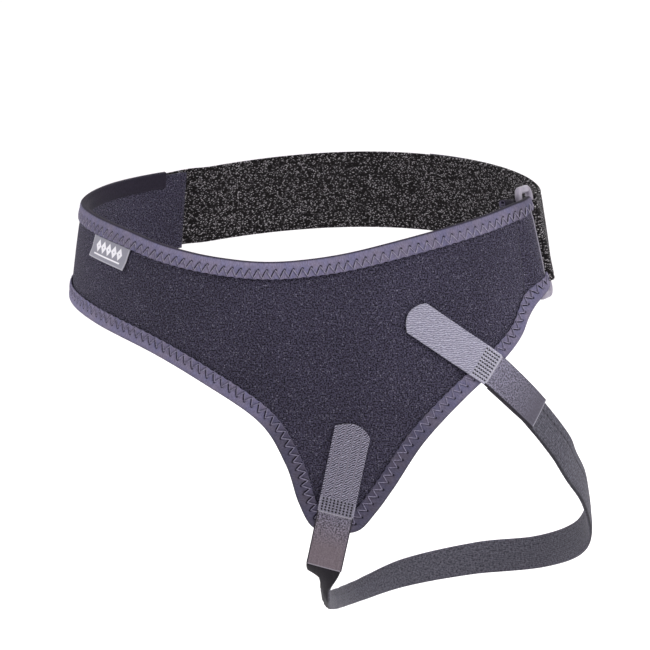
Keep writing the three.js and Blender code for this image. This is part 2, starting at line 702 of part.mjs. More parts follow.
function thighStrap() {
  const hipStart = HIP_TAB_LENGTH + HIP_STRAP_START;
  const hipEnd = HIP_TAB_LENGTH + HIP_COVER_LENGTH;
  const groinStart = GROIN_TAB_LENGTH + GROIN_STRAP_START;
  const groinEnd = GROIN_TAB_LENGTH + GROIN_COVER_LENGTH;
  const way = [
    ...underCover(hipLine, [hipStart, (hipStart + hipEnd) / 2, hipEnd]),
    ...roundThigh(),
    ...underCover(groinLine, [groinEnd, (groinStart + groinEnd) / 2, groinStart]),
  ];
  const middle = new THREE.CatmullRomCurve3(way.map((w) => w.point));
  const outward = new THREE.CatmullRomCurve3(way.map((w) => w.out));
  const sizes = new THREE.CatmullRomCurve3(way.map((w) => w.size));
  const steps = (way.length - 1) * STEPS_PER_ROW;
  const section = bevelledSection(THIGH_STRAP_WIDTH, THIGH_STRAP_THICKNESS, 1.2);
  const rings = shares(steps).map((share) => {
    const forward = middle.getTangent(share);
    const out = outward.getPoint(share);
    const across = new THREE.Vector3().crossVectors(forward, out).normalize();
    out.crossVectors(across, forward).normalize();
    const size = sizes.getPoint(share);
    return section.map(([a, o]) =>
      middle
        .getPoint(share)
        .addScaledVector(across, a * size.x)
        .addScaledVector(out, o * size.y),
    );
  });
  return sweep("thigh_strap", rings, false, materials.padding);
}

// The label hangs from the upper binding's margin, over the wearer's right hip
function wovenLabel() {
  const middle = LABEL_ALONG * HALF_GIRTH;
  const skin = (out) =>
    shares(5).map((side) => {
      const share = shareAt(upperEdge, middle + (side - 0.5) * LABEL_WIDTH);
      return shares(2).map((down) => {
        const drop = BINDING_WIDTH + CLEARANCE + down * LABEL_HEIGHT;
        const p = inset(upperEdge, share, -1, drop);
        return panelPoint(p.x, p.y, PANEL_THICKNESS + CLEARANCE + out);
      });
    });
  return sheet("label", skin(LABEL_THICKNESS), skin(0), materials.label);
}

const belt = new THREE.Group();
belt.name = "hernia_belt";
belt.add(
  frontPanel(),
  binding("upper_binding", upperEdge, -1),
  binding("lower_binding", lowerEdge, 1),
  wovenLabel(),
  sideRing(),
  backStrap(),
  closureTab(),
  hookTab("hip_tab", hipLine, HIP_TAB_LENGTH),
  tabCover("hip_tab_cover", hipLine, HIP_TAB_LENGTH, HIP_COVER_LENGTH),
  hookTab("groin_tab", groinLine, GROIN_TAB_LENGTH),
  tabCover("groin_tab_cover", groinLine, GROIN_TAB_LENGTH, GROIN_COVER_LENGTH),
  thighStrap(),
);

export default belt;
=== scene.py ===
"""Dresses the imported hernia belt: bound neoprene panel, plush back strap, ring and thigh strap.

The classes work in millimetres in the part's own frame. build_mesh turns them to metres.
"""

import logging
import math
from dataclasses import dataclass, field
from enum import Enum
from functools import cached_property

import bpy
import numpy as np
from bpy.types import Material, Node, NodeOutputs, NodeSocket, NodeTree, Object
from mathutils import Matrix, Vector


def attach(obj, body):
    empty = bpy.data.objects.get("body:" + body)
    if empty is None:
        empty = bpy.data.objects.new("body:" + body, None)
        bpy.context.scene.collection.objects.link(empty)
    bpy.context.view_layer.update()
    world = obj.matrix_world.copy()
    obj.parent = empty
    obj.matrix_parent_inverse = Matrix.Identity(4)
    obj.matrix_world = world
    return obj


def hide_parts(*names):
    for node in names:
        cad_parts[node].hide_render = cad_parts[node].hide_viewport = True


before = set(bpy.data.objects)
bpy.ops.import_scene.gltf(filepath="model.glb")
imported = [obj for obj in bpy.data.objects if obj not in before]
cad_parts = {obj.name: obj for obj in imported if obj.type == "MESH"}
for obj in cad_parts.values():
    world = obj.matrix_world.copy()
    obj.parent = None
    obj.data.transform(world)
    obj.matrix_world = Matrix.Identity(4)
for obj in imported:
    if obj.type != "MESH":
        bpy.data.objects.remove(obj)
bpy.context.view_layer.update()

LOG = logging.getLogger("hernia_belt")
Array = np.ndarray
MM = 0.001  # one millimetre in metres
BODY = "root"

CLEARANCE = 0.3  # between sewn layers
SOFT_CLEARANCE = 0.5  # between the padded strap and what lies on it
PASS_CLEARANCE = 0.45  # between a ring's bar and the layer folded round it


# -------------------------------------------------------------------------------------------------
# Numbers and curves


def ease(x: Array, low: float, high: float) -> Array:
    """Smooth step from 0 at low to 1 at high."""
    t = np.clip((np.asarray(x, float) - low) / (high - low), 0.0, 1.0)
    return t * t * (3 - 2 * t)


def bump_at(x: Array, middle: float, width: float) -> Array:
    """Bell of height 1 at middle, which falls to about a third at width from it."""
    return np.exp(-(((np.asarray(x, float) - middle) / width) ** 2))


def unit(vectors: Array) -> Array:
    """Vectors with their length set to 1."""
    return vectors / np.linalg.norm(vectors, axis=-1, keepdims=True)


def blend(a: Array, b: Array, share: Array) -> Array:
    """Points from a, where share is 0, to b, where it is 1."""
    share = np.asarray(share)[..., None]
    return a * (1 - share) + b * share


def column(rows: Array, index: int, key: Array) -> Array:
    """A table's column on a smooth curve through its rows.

    Args:
        rows: The table, with its key in column 0, rising.
        index: The column to read.
        key: Where to read it.

    Returns:
        The column's value at each key.
    """
    keys, values = rows[:, 0], rows[:, index]
    slopes = np.empty(len(keys))
    slopes[1:-1] = (values[2:] - values[:-2]) / (keys[2:] - keys[:-2])
    slopes[0] = (values[1] - values[0]) / (keys[1] - keys[0])
    slopes[-1] = (values[-1] - values[-2]) / (keys[-1] - keys[-2])
    key = np.asarray(key, float)
    i = np.clip(np.searchsorted(keys[1:-1], key, side="left"), 0, len(keys) - 2)
    span = keys[i + 1] - keys[i]
    t = np.clip((key - keys[i]) / span, 0.0, 1.0)
    rise = values[i + 1] - values[i]
    start, end = slopes[i] * span, slopes[i + 1] * span
    return (
        values[i]
        + t * start
        + t**2 * (3 * rise - 2 * start - end)
        + t**3 * (start + end - 2 * rise)
    )


def even_spline(points: Array, share: Array) -> Array:
    """Uniform Catmull-Rom curve through points, at shares of its rows."""
    last = len(points) - 1
    place = np.clip(np.asarray(share, float), 0.0, 1.0) * last
    i = np.minimum(place.astype(int), last - 1)
    t = (place - i)[..., None]
    p0, p1 = points[np.maximum(i - 1, 0)], points[i]
    p2, p3 = points[i + 1], points[np.minimum(i + 2, last)]
    v0, v1 = (p2 - p0) / 2, (p3 - p1) / 2
    return (
        (2 * p1 - 2 * p2 + v0 + v1) * t**3
        + (-3 * p1 + 3 * p2 - 2 * v0 - v1) * t**2
        + v0 * t
        + p1
    )


def centripetal_spline(points: Array, share: Array) -> Array:
    """Centripetal Catmull-Rom curve, which doesn't loop where its points lie close together."""
    last = len(points) - 1
    padded = np.vstack([2 * points[0] - points[1], points, 2 * points[-1] - points[-2]])
    place = np.clip(np.asarray(share, float), 0.0, 1.0) * last
    i = np.minimum(place.astype(int), last - 1)
    t = (place - i)[..., None]
    x0, x1, x2, x3 = (padded[i + k] for k in range(4))
    steps = [
        np.sqrt(np.linalg.norm(b - a, axis=-1))[..., None]
        for a, b in ((x0, x1), (x1, x2), (x2, x3))
    ]
    d1 = np.where(steps[1] < 1e-4, 1.0, steps[1])
    d0 = np.where(steps[0] < 1e-4, d1, steps[0])
    d2 = np.where(steps[2] < 1e-4, d1, steps[2])
    v1 = ((x1 - x0) / d0 - (x2 - x0) / (d0 + d1) + (x2 - x1) / d1) * d1
    v2 = ((x2 - x1) / d1 - (x3 - x1) / (d1 + d2) + (x3 - x2) / d2) * d1
    return (
        x1
        + v1 * t
        + (-3 * x1 + 3 * x2 - 2 * v1 - v2) * t**2
        + (2 * x1 - 2 * x2 + v1 + v2) * t**3
    )


def lengths_along(points: Array) -> Array:
    """Length from the first point to each point of a line."""
    steps = np.linalg.norm(np.diff(points, axis=0), axis=-1)
    return np.concatenate([[0.0], np.cumsum(steps)])


def crowded(count: int, half: float, edge: float) -> Array:
    """Positions from -half to half with three more rows in each rounded edge.

    Args:
        count: Number of equal steps between the two edges.
        half: Half the width.
        edge: Width of each rounded edge.

    Returns:
        The positions, rising.
    """
    turn = edge * (1 - np.cos(np.linspace(0.12, 1, 4) * math.pi / 2))
    middle = np.linspace(-half + edge, half - edge, count + 1)[1:-1]
    return np.concatenate([-half + turn, middle, (half - turn)[::-1]])


def rounded(positions: Array, half: float, edge: float, least: float = 0.3) -> Array:
    """Share of the full thickness across a strap, which falls to least at its two edges."""
    into = np.clip((np.abs(positions) - (half - edge)) / edge, 0.0, 1.0)
    return np.maximum(np.sqrt(np.clip(1 - into**2, 0, 1)), least)


# -------------------------------------------------------------------------------------------------
# Meshes


def linear(code: str) -> tuple[float, float, float, float]:
    """Turns an sRGB hex colour into Blender's linear colour.

    Args:
        code: The colour as #rrggbb.

    Returns:
        Linear red, green and blue, with an alpha of 1.
    """
    parts = [int(code[k : k + 2], 16) / 255 for k in (1, 3, 5)]
    values = [c / 12.92 if c <= 0.04045 else ((c + 0.055) / 1.055) ** 2.4 for c in parts]
    return (*values, 1.0)


def add_object(name: str, data: bpy.types.ID) -> Object:
    """Makes an object of its data and puts it in the scene."""
    obj = bpy.data.objects.new(name, data)
    bpy.context.scene.collection.objects.link(obj)
    return obj


def build_mesh(
    name: str,
    corners: Array,
    faces: Array,
    material: Material,
    cloth_map: Array | None = None,
    marks: dict[str, Array] | None = None,
) -> Object:
    """Makes an object with smooth faces that point outwards.

    Args:
        name: The object's name.
        corners: Its corners, in millimetres.
        faces: Its four-sided faces, as rows of corner numbers.
        material: Its one material.
        cloth_map: Each corner's place on the flat cloth, in millimetres.
        marks: Further values for each corner, which the material reads.

    Returns:
        The new object.
    """
    a, b, c, d = (corners[faces[:, k]] for k in range(4))
    volume = (np.cross(a, b) * c).sum() + (np.cross(a, c) * d).sum()
    if volume < 0:
        faces = faces[:, ::-1]
    mesh = bpy.data.meshes.new(name)
    mesh.vertices.add(len(corners))
    mesh.vertices.foreach_set("co", (corners * MM).ravel())
    mesh.loops.add(faces.size)
    mesh.loops.foreach_set("vertex_index", faces.ravel())
    mesh.polygons.add(len(faces))
    mesh.polygons.foreach_set("loop_start", np.arange(0, faces.size, 4))
    mesh.update(calc_edges=True)
    mesh.shade_smooth()
    if cloth_map is not None:
        layer = mesh.uv_layers.new(name="cloth")
        layer.data.foreach_set("uv", (cloth_map[faces.ravel()] * MM).ravel())
    for mark, values in (marks or {}).items():
        attribute = mesh.attributes.new(mark, "FLOAT", "POINT")
        attribute.data.foreach_set("value", values.ravel().astype(np.float32))
    mesh.validate()
    mesh.materials.append(material)
    return add_object(name, mesh)


def grid_faces(rows: int, columns: int, start: int) -> Array:
    """Faces of a grid of corners whose first corner has the number start."""
    i, j = np.meshgrid(np.arange(rows - 1), np.arange(columns - 1), indexing="ij")
    first = (start + i * columns + j).ravel()
    return np.stack([first, first + 1, first + columns + 1, first + columns], -1)


def tube_faces(rows: int, sides: int) -> Array:
    """Faces between the rows of a tube, the last of them back to its first row."""
    number = np.arange(rows * sides).reshape(rows, sides)
    ahead = np.roll(number, -1, 0)
    return np.stack([number, np.roll(number, -1, 1), np.roll(ahead, -1, 1), ahead], -1)


def cloth_shell(
    name: str,
    outer: Array,
    inner: Array,
    flat: Array,
    material: Material,
    marks: dict[str, Array] | None = None,
) -> Object:
    """Makes a closed cloth from its two skins.

    Args:
        name: The object's name.
        outer: Points of the outer skin, as rows and columns, in millimetres.
        inner: Points of the inner skin, with the same rows and columns.
        flat: Each point's place on the flat cloth, as length and width.
        material: The cloth's material.
        marks: Values over the outer skin. The inner skin gets 0.

    Returns:
        The cloth's object, with the mark inside set to 1 on its inner skin.
    """
    rows, columns = outer.shape[:2]
    count = rows * columns
    number = np.arange(count).reshape(rows, columns)
    rim = np.concatenate([number[0, :-1], number[:-1, -1], number[-1, :0:-1], number[:0:-1, 0]])
    following = np.roll(rim, -1)
    faces = np.concatenate(
        [
            grid_faces(rows, columns, 0),
            grid_faces(rows, columns, count)[:, ::-1],
            np.stack([following, rim, rim + count, following + count], -1),
        ]
    )
    both = {"inside": np.concatenate([np.zeros(count), np.ones(count)])}
    for mark, values in (marks or {}).items():
        full = np.broadcast_to(values, (rows, columns)).ravel()
        both[mark] = np.concatenate([full, np.zeros(count)])
    corners = np.concatenate([outer.reshape(-1, 3), inner.reshape(-1, 3)])
    cloth_map = np.tile(flat.reshape(-1, 2), (2, 1))
    return build_mesh(name, corners, faces, material, cloth_map, both)


def flat_places(lengths: Array, widths: Array) -> Array:
    """Places on the flat cloth from lengths down its rows and widths across its columns."""
    return np.stack(np.broadcast_arrays(lengths, widths), -1).astype(float)


# -------------------------------------------------------------------------------------------------
# Finishes

# Blender's names for the nodes that the finishes and seams use most
MATH, VECTOR_MATH, MAP_RANGE = "ShaderNodeMath", "ShaderNodeVectorMath", "ShaderNodeMapRange"
MIX, NOISE, CELLS = "ShaderNodeMix", "ShaderNodeTexNoise", "ShaderNodeTexVoronoi"
UV_MAP, ATTRIBUTE, SEPARATE = "ShaderNodeUVMap", "ShaderNodeAttribute", "ShaderNodeSeparateXYZ"
COMBINE, MAPPING, PLACES = "ShaderNodeCombineXYZ", "ShaderNodeMapping", "ShaderNodeTexCoord"
CURVE, TUBE, MOVE = "GeometryNodeMeshToCurve", "GeometryNodeCurveToMesh", "GeometryNodeSetPosition"
RESAMPLE, NAMED = "GeometryNodeResampleCurve", "GeometryNodeInputNamedAttribute"
CIRCLE = "GeometryNodeCurvePrimitiveCircle"


def put(tree: NodeTree, kind: str, inputs: dict | None = None, **settings: object) -> Node:
    """Adds a node with its settings and links.

    Args:
        tree: The tree that gets the node.
        kind: Blender's name for the node's type.
        inputs: For each input's name or number a value, a hex colour, a socket, or a node whose
            first live output it takes.
        **settings: The node's own properties.

    Returns:
        The new node.
    """
    made = tree.nodes.new(kind)
    for key, value in settings.items():
        setattr(made, key, value)
    for key, value in (inputs or {}).items():
        if isinstance(value, Node):
            value = next(output for output in value.outputs if output.enabled)
        if isinstance(value, NodeSocket):
            tree.links.new(value, made.inputs[key])
        elif isinstance(value, str) and value.startswith("#"):
            made.inputs[key].default_value = linear(value)
        else:
            made.inputs[key].default_value = value
    return made


def per_mm(size: float) -> float:
    """Texture scale whose cells are size millimetres wide."""
    return 1 / (size * MM)


@dataclass(frozen=True)
class Finish:
    """A finish: its name, its gloss, and the depth of its relief."""

    name: str
    roughness: float = 0.85
    relief: float = 0.15  # millimetres
    sheen: float = 0.0
    sheen_roughness: float = 0.5
    specular: float = 0.3
    ior: float = 1.5

    def pattern(self, tree: NodeTree) -> tuple[Node, Node]:
        """Adds the finish's nodes.

        Args:
            tree: The material's tree.

        Returns:
            The node that gives the colour and the one that gives the height, from 0 to 1.
        """
        raise NotImplementedError

    def material(self) -> Material:
        """The finish's material, made once."""
        if self.name in bpy.data.materials:
            return bpy.data.materials[self.name]
        made = bpy.data.materials.new(self.name)
        made.use_nodes = True
        tree = made.node_tree
        tree.nodes.clear()
        colour, height = self.pattern(tree)
        relief = put(tree, "ShaderNodeBump", {"Height": height, "Distance": self.relief * MM})
        surface = put(
            tree,
            "ShaderNodeBsdfPrincipled",
            {
                "Base Color": colour,
                "Roughness": self.roughness,
                "IOR": self.ior,
                "Specular IOR Level": self.specular,
                "Sheen Weight": self.sheen,
                "Sheen Roughness": self.sheen_roughness,
                "Normal": relief,
            },
        )
        put(tree, "ShaderNodeOutputMaterial", {"Surface": surface})
        return made


@dataclass(frozen=True)
class LoopKnit(Finish):
    """Neoprene laminate faced with a napped loop knit: dark and matt, with pale flecks of fibre."""

    ground: str = "#14121b"
    fibre: str = "#4a465a"
    fleck: str = "#8a8698"
    # colour of the painted highlight along the fold round the ring's bar
    fold_highlight: str = "#a5a1ad"
    grain: float = 1.0  # millimetres between loops, drawn coarser than the real 0.6 to show

    def pattern(self, tree: NodeTree) -> tuple[Node, Node]:
        """Random loops over a fine knit, with a painted highlight where the cloth turns round the
        ring's bar.
        """
        place = put(tree, UV_MAP, uv_map="cloth")
        loops = put(tree, NOISE, {"Vector": place, "Scale": per_mm(self.grain), "Detail": 1.0})
        cells = put(tree, CELLS, {"Vector": place, "Scale": per_mm(self.grain * 1.3)})
        broad = put(tree, NOISE, {"Vector": place, "Scale": per_mm(60), "Detail": 2.0})
        nap = put(tree, MAP_RANGE, {0: loops, 1: 0.38, 2: 0.62})
        body = put(tree, MIX, {0: nap, 6: self.ground, 7: self.fibre}, data_type="RGBA")
        chosen = put(tree, MAP_RANGE, {0: cells.outputs["Color"], 1: 0.5, 2: 0.85, 4: 0.8})
        near = put(tree, MAP_RANGE, {0: cells, 1: 0.42, 2: 0.1})
        flecks = put(tree, MATH, {0: chosen, 1: near}, operation="MULTIPLY")
        flecked = put(tree, MIX, {0: flecks, 6: body, 7: self.fleck}, data_type="RGBA")
        slow = put(tree, MAP_RANGE, {0: broad, 1: 0.3, 2: 0.7, 3: 0.88, 4: 1.12})
        uneven = put(tree, VECTOR_MATH, {0: flecked, 3: slow}, operation="SCALE")
        # painted highlight where the cloth turns round the ring's bar
        worn = put(tree, ATTRIBUTE, attribute_name="fold_highlight")
        colour = put(
            tree,
            MIX,
            {0: worn.outputs["Fac"], 6: uneven, 7: self.fold_highlight},
            data_type="RGBA",
        )
        return colour, put(tree, MATH, {0: nap, 1: flecks}, operation="ADD")


@dataclass(frozen=True)
class Zigzag:
    """The bindings' seam in millimetres: its two sides from the tape's margin, and its pitch."""

    near: float = 0.5
    far: float = 5.9
    pitch: float = 6.1
    aside: float = 0.135  # stitches from each leg of the thread to the slot that it draws in
    # stitches from each leg of the thread to the slot that it draws in and to its painted shadow
    legs: tuple[tuple[float, float], ...] = ((-0.5, 1.0), (0.5, 0.4))


ZIGZAG = Zigzag()


@dataclass(frozen=True)
class KnitTape(Finish):
    """Brushed nylon binding tape: soft slate cloth, with painted shadow where the seam draws it in.
    """

    cloth: str = "#7e778d"
    cloudy: str = "#73708e"
    # colour of the painted shadow in the slots and of the painted shade in the needle holes
    shade: str = "#1f1c28"
    # colour of the painted shade on the tape's turned outer edge
    turned: str = "#2a2533"
    seam: Zigzag = ZIGZAG

    def pattern(self, tree: NodeTree) -> tuple[Node, Node]:
        """Fine knit, with painted shadow in the slots beside the thread and painted shade in the
        needle holes.
        """
        seam = self.seam
        place = put(tree, UV_MAP, uv_map="cloth")
        parts = put(tree, SEPARATE, {0: place})
        stitch = put(tree, ATTRIBUTE, attribute_name="stitch").outputs["Fac"]
        slots = put(tree, ATTRIBUTE, attribute_name="slots").outputs["Fac"]
        # painted shade where the tape turns over the panel's edge
        rolled = put(tree, ATTRIBUTE, attribute_name="turned").outputs["Fac"]
        rise = put(
            tree,
            MAP_RANGE,
            {0: parts.outputs["Y"], 1: seam.near * MM, 2: seam.far * MM},
            clamp=False,
        )
        off_middle = put(tree, MATH, {0: rise, 1: 0.5}, operation="SUBTRACT")
        spread = put(tree, MATH, {0: off_middle}, operation="ABSOLUTE")
        inside = put(tree, MAP_RANGE, {0: spread, 1: 0.58, 2: 0.42})
        # painted shadow beside each leg of the thread, darker beside the first leg
        drawn = None
        for lean, strength in seam.legs:
            at_leg = put(tree, MATH, {0: rise, 1: lean, 2: stitch}, operation="MULTIPLY_ADD")
            beside = put(tree, MATH, {0: at_leg, 1: seam.aside}, operation="ADD")
            wrapped = put(tree, MATH, {0: beside, 1: 0.5, 2: -0.5}, operation="WRAP")
            away = put(tree, MATH, {0: wrapped}, operation="ABSOLUTE")
            slot = put(tree, MAP_RANGE, {0: away, 1: 0.15, 2: 0.045, 4: strength})
            drawn = slot if drawn is None else put(
                tree, MATH, {0: drawn, 1: slot}, operation="MAXIMUM"
            )
        bounded = put(tree, MATH, {0: drawn, 1: inside}, operation="MULTIPLY")
        slotted = put(tree, MATH, {0: bounded, 1: slots}, operation="MULTIPLY")
        # painted shade in the needle holes
        to_hole = put(tree, MATH, {0: stitch, 1: 1.0, 2: 0.0}, operation="WRAP")
        hole_gap = put(tree, MATH, {0: to_hole, 1: 0.5}, operation="SUBTRACT")
        hole_side = put(tree, MATH, {0: hole_gap, 1: seam.pitch}, operation="MULTIPLY")
        past_top = put(tree, MATH, {0: rise, 1: 1.02}, operation="SUBTRACT")
        hole_up = put(tree, MATH, {0: past_top, 1: seam.far - seam.near}, operation="MULTIPLY")
        hole_way = put(tree, COMBINE, {"X": hole_side, "Y": hole_up})
        hole_off = put(tree, VECTOR_MATH, {0: hole_way}, operation="LENGTH")
        hole = put(tree, MAP_RANGE, {0: hole_off, 1: 1.15, 2: 0.5, 4: 0.95})
        dark = put(tree, MATH, {0: slotted, 1: hole}, operation="MAXIMUM", use_clamp=True)
        streaky = put(tree, MAPPING, {"Vector": place, "Scale": (1.5, 0.55, 1.0)})
        knit = put(
            tree, NOISE, {"Vector": streaky, "Scale": per_mm(1.2), "Detail": 2.0, "Roughness": 0.7}
        )
        broad = put(tree, NOISE, {"Vector": place, "Scale": per_mm(9), "Detail": 1.0})
        clouds = put(tree, MAP_RANGE, {0: broad, 1: 0.35, 2: 0.65})
        cloth = put(tree, MIX, {0: clouds, 6: self.cloth, 7: self.cloudy}, data_type="RGBA")
        sewn = put(tree, MIX, {0: dark, 6: cloth, 7: self.shade}, data_type="RGBA")
        hemmed = put(tree, MIX, {0: rolled, 6: sewn, 7: self.turned}, data_type="RGBA")
        tone = put(tree, MAP_RANGE, {0: knit, 1: 0.32, 2: 0.68, 3: 0.72, 4: 1.24})
        # painted shade and painted light along the tape
        painted_shading = put(tree, ATTRIBUTE, attribute_name="painted_shading").outputs["Fac"]
        shading_factor = put(tree, MATH, {0: painted_shading, 1: -1.0, 2: 1.0}, operation="MULTIPLY_ADD")
        toned = put(tree, MATH, {0: tone, 1: shading_factor}, operation="MULTIPLY")
        colour = put(tree, VECTOR_MATH, {0: hemmed, 3: toned}, operation="SCALE")
        return colour, put(tree, MATH, {0: knit, 1: dark}, operation="SUBTRACT")


@dataclass(frozen=True)
class PlushPile(Finish):
    """Brushed loop elastic: a coarse pile in which bright fibre tips stand over black gaps."""

    gap: str = "#141213"
    pile: str = "#4e4b4e"
    tip: str = "#bdb9bc"
    loop: float = 1.5  # millimetres

    def pattern(self, tree: NodeTree) -> tuple[Node, Node]:
        """Clumps of pile in slanting rows."""
        place = put(tree, UV_MAP, uv_map="cloth")
        slanted = put(
            tree,
            MAPPING,
            {"Vector": place, "Rotation": (0, 0, 0.7), "Scale": (1.0, 1.5, 1.0)},
        )
        clumps = put(tree, CELLS, {"Vector": slanted, "Scale": per_mm(self.loop)})
        fuzz = put(
            tree,
            NOISE,
            {"Vector": place, "Scale": per_mm(self.loop * 1.1), "Detail": 2.0, "Roughness": 0.7},
        )
        lit = put(tree, MAP_RANGE, {0: clumps, 1: 0.6, 2: 0.1})
        mixed = put(tree, MATH, {0: lit, 1: fuzz}, operation="MULTIPLY")
        low = put(tree, MAP_RANGE, {0: mixed, 1: 0.06, 2: 0.27})
        high = put(tree, MAP_RANGE, {0: mixed, 1: 0.27, 2: 0.48})
        body = put(tree, MIX, {0: low, 6: self.gap, 7: self.pile}, data_type="RGBA")
        return put(tree, MIX, {0: high, 6: body, 7: self.tip}, data_type="RGBA"), mixed


@dataclass(frozen=True)
class Band:
    """The rows of stitches that fix a hook tab's end, in millimetres from its rounded end."""

    last: float
    rows: int
    row_pitch: float = 2.0
    hole_pitch: float = 2.4
    reach: float = 10.8  # from the tab's middle line to the last stitch's middle

    @property
    def first(self) -> float:
        """Distance of the first row."""
        return self.last - (self.rows - 1) * self.row_pitch

    @property
    def gaps(self) -> int:
        """Number of gaps between the stitches of a row."""
        return round(2 * self.reach / self.hole_pitch)


@dataclass(frozen=True)
class WovenTape(Finish):
    """Back of a woven nylon hook tape: slanting ribs, and needle holes where its end is sewn."""

    rib: str = "#a3a1b2"
    valley: str = "#696675"
    # colour of the walls and underside: a dark cut edge, darkened further as painted shadow
    rim: str = "#24212b"
    # colour of the painted shade in the needle holes
    hole: str = "#17151c"
    spacing: float = 1.45  # millimetres between ribs, drawn at twice the real size to show
    slant: float = 0.84  # fall of the ribs along the tape for each millimetre across it
    turn: float = 5.5  # millimetres across the tape from one turn of the ribs to the next but one
    lean: float = 0.7  # share of that over which they fall
    wander: float = 0.5  # millimetres by which the ribs stray
    half_width: float = 20.0  # more than half of any tape's width
    stray: float = 2.6  # millimetres between two strays, then between two grains of the weave
    grain: float = 1.4
    lead: float = 1.0  # from the first stitched row back to where the cloth is pressed flat
    pressed: float = 0.2  # over which it gets flat
    hole_edge: tuple[float, float] = (0.92, 0.58)  # radii at which a needle hole starts and is full
    band: Band | None = None

    def pattern(self, tree: NodeTree) -> tuple[Node, Node]:
        """Ribs whose slant turns across the tape, and the holes of its band."""
        place = put(tree, UV_MAP, uv_map="cloth")
        parts = put(tree, SEPARATE, {0: place})
        along, across = parts.outputs["X"], parts.outputs["Y"]
        stray = put(tree, NOISE, {"Vector": place, "Scale": per_mm(self.stray), "Detail": 1.0})
        from_side = put(tree, MATH, {0: across, 1: self.half_width * MM}, operation="ADD")
        turns = put(tree, MATH, {0: from_side, 1: self.turn * MM}, operation="DIVIDE")
        part = put(tree, MATH, {0: turns}, operation="FRACT")
        falling = put(tree, MATH, {0: part, 1: self.lean}, operation="DIVIDE")
        rising = put(tree, MAP_RANGE, {0: part, 1: 1.0, 2: self.lean}, clamp=False)
        ridge = put(tree, MATH, {0: falling, 1: rising}, operation="MINIMUM")
        drop = self.slant * self.lean * self.turn * MM
        slanted = put(tree, MATH, {0: ridge, 1: drop, 2: along}, operation="MULTIPLY_ADD")
        strayed = put(
            tree, MATH, {0: stray, 1: 4 * self.wander * MM, 2: slanted}, operation="MULTIPLY_ADD"
        )
        phase = put(
            tree, MATH, {0: strayed, 1: 2 * math.pi / (self.spacing * MM)}, operation="MULTIPLY"
        )
        wave = put(tree, MATH, {0: phase}, operation="SINE")
        ribs = put(tree, MAP_RANGE, {0: wave, 1: -0.7, 2: 0.7})
        if self.band:  # the stitches press the ribs flat
            begun = (self.band.first - self.lead) * MM
            flat = put(tree, MAP_RANGE, {0: along, 1: begun - self.pressed * MM, 2: begun, 4: 0.6})
            ribs = put(tree, MATH, {0: ribs, 1: flat}, operation="MAXIMUM")
        grain = put(
            tree,
            NOISE,
            {"Vector": place, "Scale": per_mm(self.grain), "Detail": 2.0, "Roughness": 0.7},
        )
        tone = put(tree, MAP_RANGE, {0: grain, 1: 0.35, 2: 0.65, 3: 0.8, 4: 1.18})
        woven = put(tree, MIX, {0: ribs, 6: self.valley, 7: self.rib}, data_type="RGBA")
        toned = put(tree, VECTOR_MATH, {0: woven, 3: tone}, operation="SCALE")
        # painted shadow on the walls and underside, over the dark cut edge
        wall = put(tree, ATTRIBUTE, attribute_name="inside")
        colour = put(tree, MIX, {0: wall.outputs["Fac"], 6: toned, 7: self.rim}, data_type="RGBA")
        height = put(tree, MATH, {0: grain, 1: 0.6, 2: ribs}, operation="MULTIPLY_ADD")
        if not self.band:
            return colour, height
        holes = self.holes(tree, along, across)
        # painted shade in the needle holes
        pierced = put(tree, MIX, {0: holes, 6: colour, 7: self.hole}, data_type="RGBA")
        sunk = put(tree, MATH, {0: holes, 1: -2.0, 2: height}, operation="MULTIPLY_ADD")
        return pierced, sunk

    def holes(self, tree: NodeTree, along: NodeSocket, across: NodeSocket) -> Node:
        """Adds the needle holes of the stitched band.

        Args:
            tree: The material's tree.
            along: Distance from the tape's rounded end, in metres.
            across: Distance from its middle line, in metres.

        Returns:
            The node that is 1 in the holes and 0 elsewhere.
        """
        band = self.band
        half_row, half_hole = band.row_pitch / 2 * MM, band.hole_pitch / 2 * MM
        from_last = put(tree, MATH, {0: along, 1: band.last * MM}, operation="SUBTRACT")
        row_gap = put(tree, MATH, {0: from_last, 1: half_row, 2: -half_row}, operation="WRAP")
        hole_gap = put(tree, MATH, {0: across, 1: half_hole, 2: -half_hole}, operation="WRAP")
        way = put(tree, COMBINE, {"X": row_gap, "Y": hole_gap})
        off = put(tree, VECTOR_MATH, {0: way}, operation="LENGTH")
        start, full = self.hole_edge
        round_hole = put(tree, MAP_RANGE, {0: off, 1: start * MM, 2: full * MM})
        lead = band.first - self.lead
        begun = put(tree, MAP_RANGE, {0: along, 1: lead * MM, 2: (lead + self.pressed) * MM})
        aside = put(tree, MATH, {0: across}, operation="ABSOLUTE")
        within = put(
            tree, MAP_RANGE, {0: aside, 1: (band.reach + 0.1) * MM, 2: (band.reach - 0.1) * MM}
        )
        kept = put(tree, MATH, {0: round_hole, 1: begun}, operation="MULTIPLY")
        return put(tree, MATH, {0: kept, 1: within}, operation="MULTIPLY")


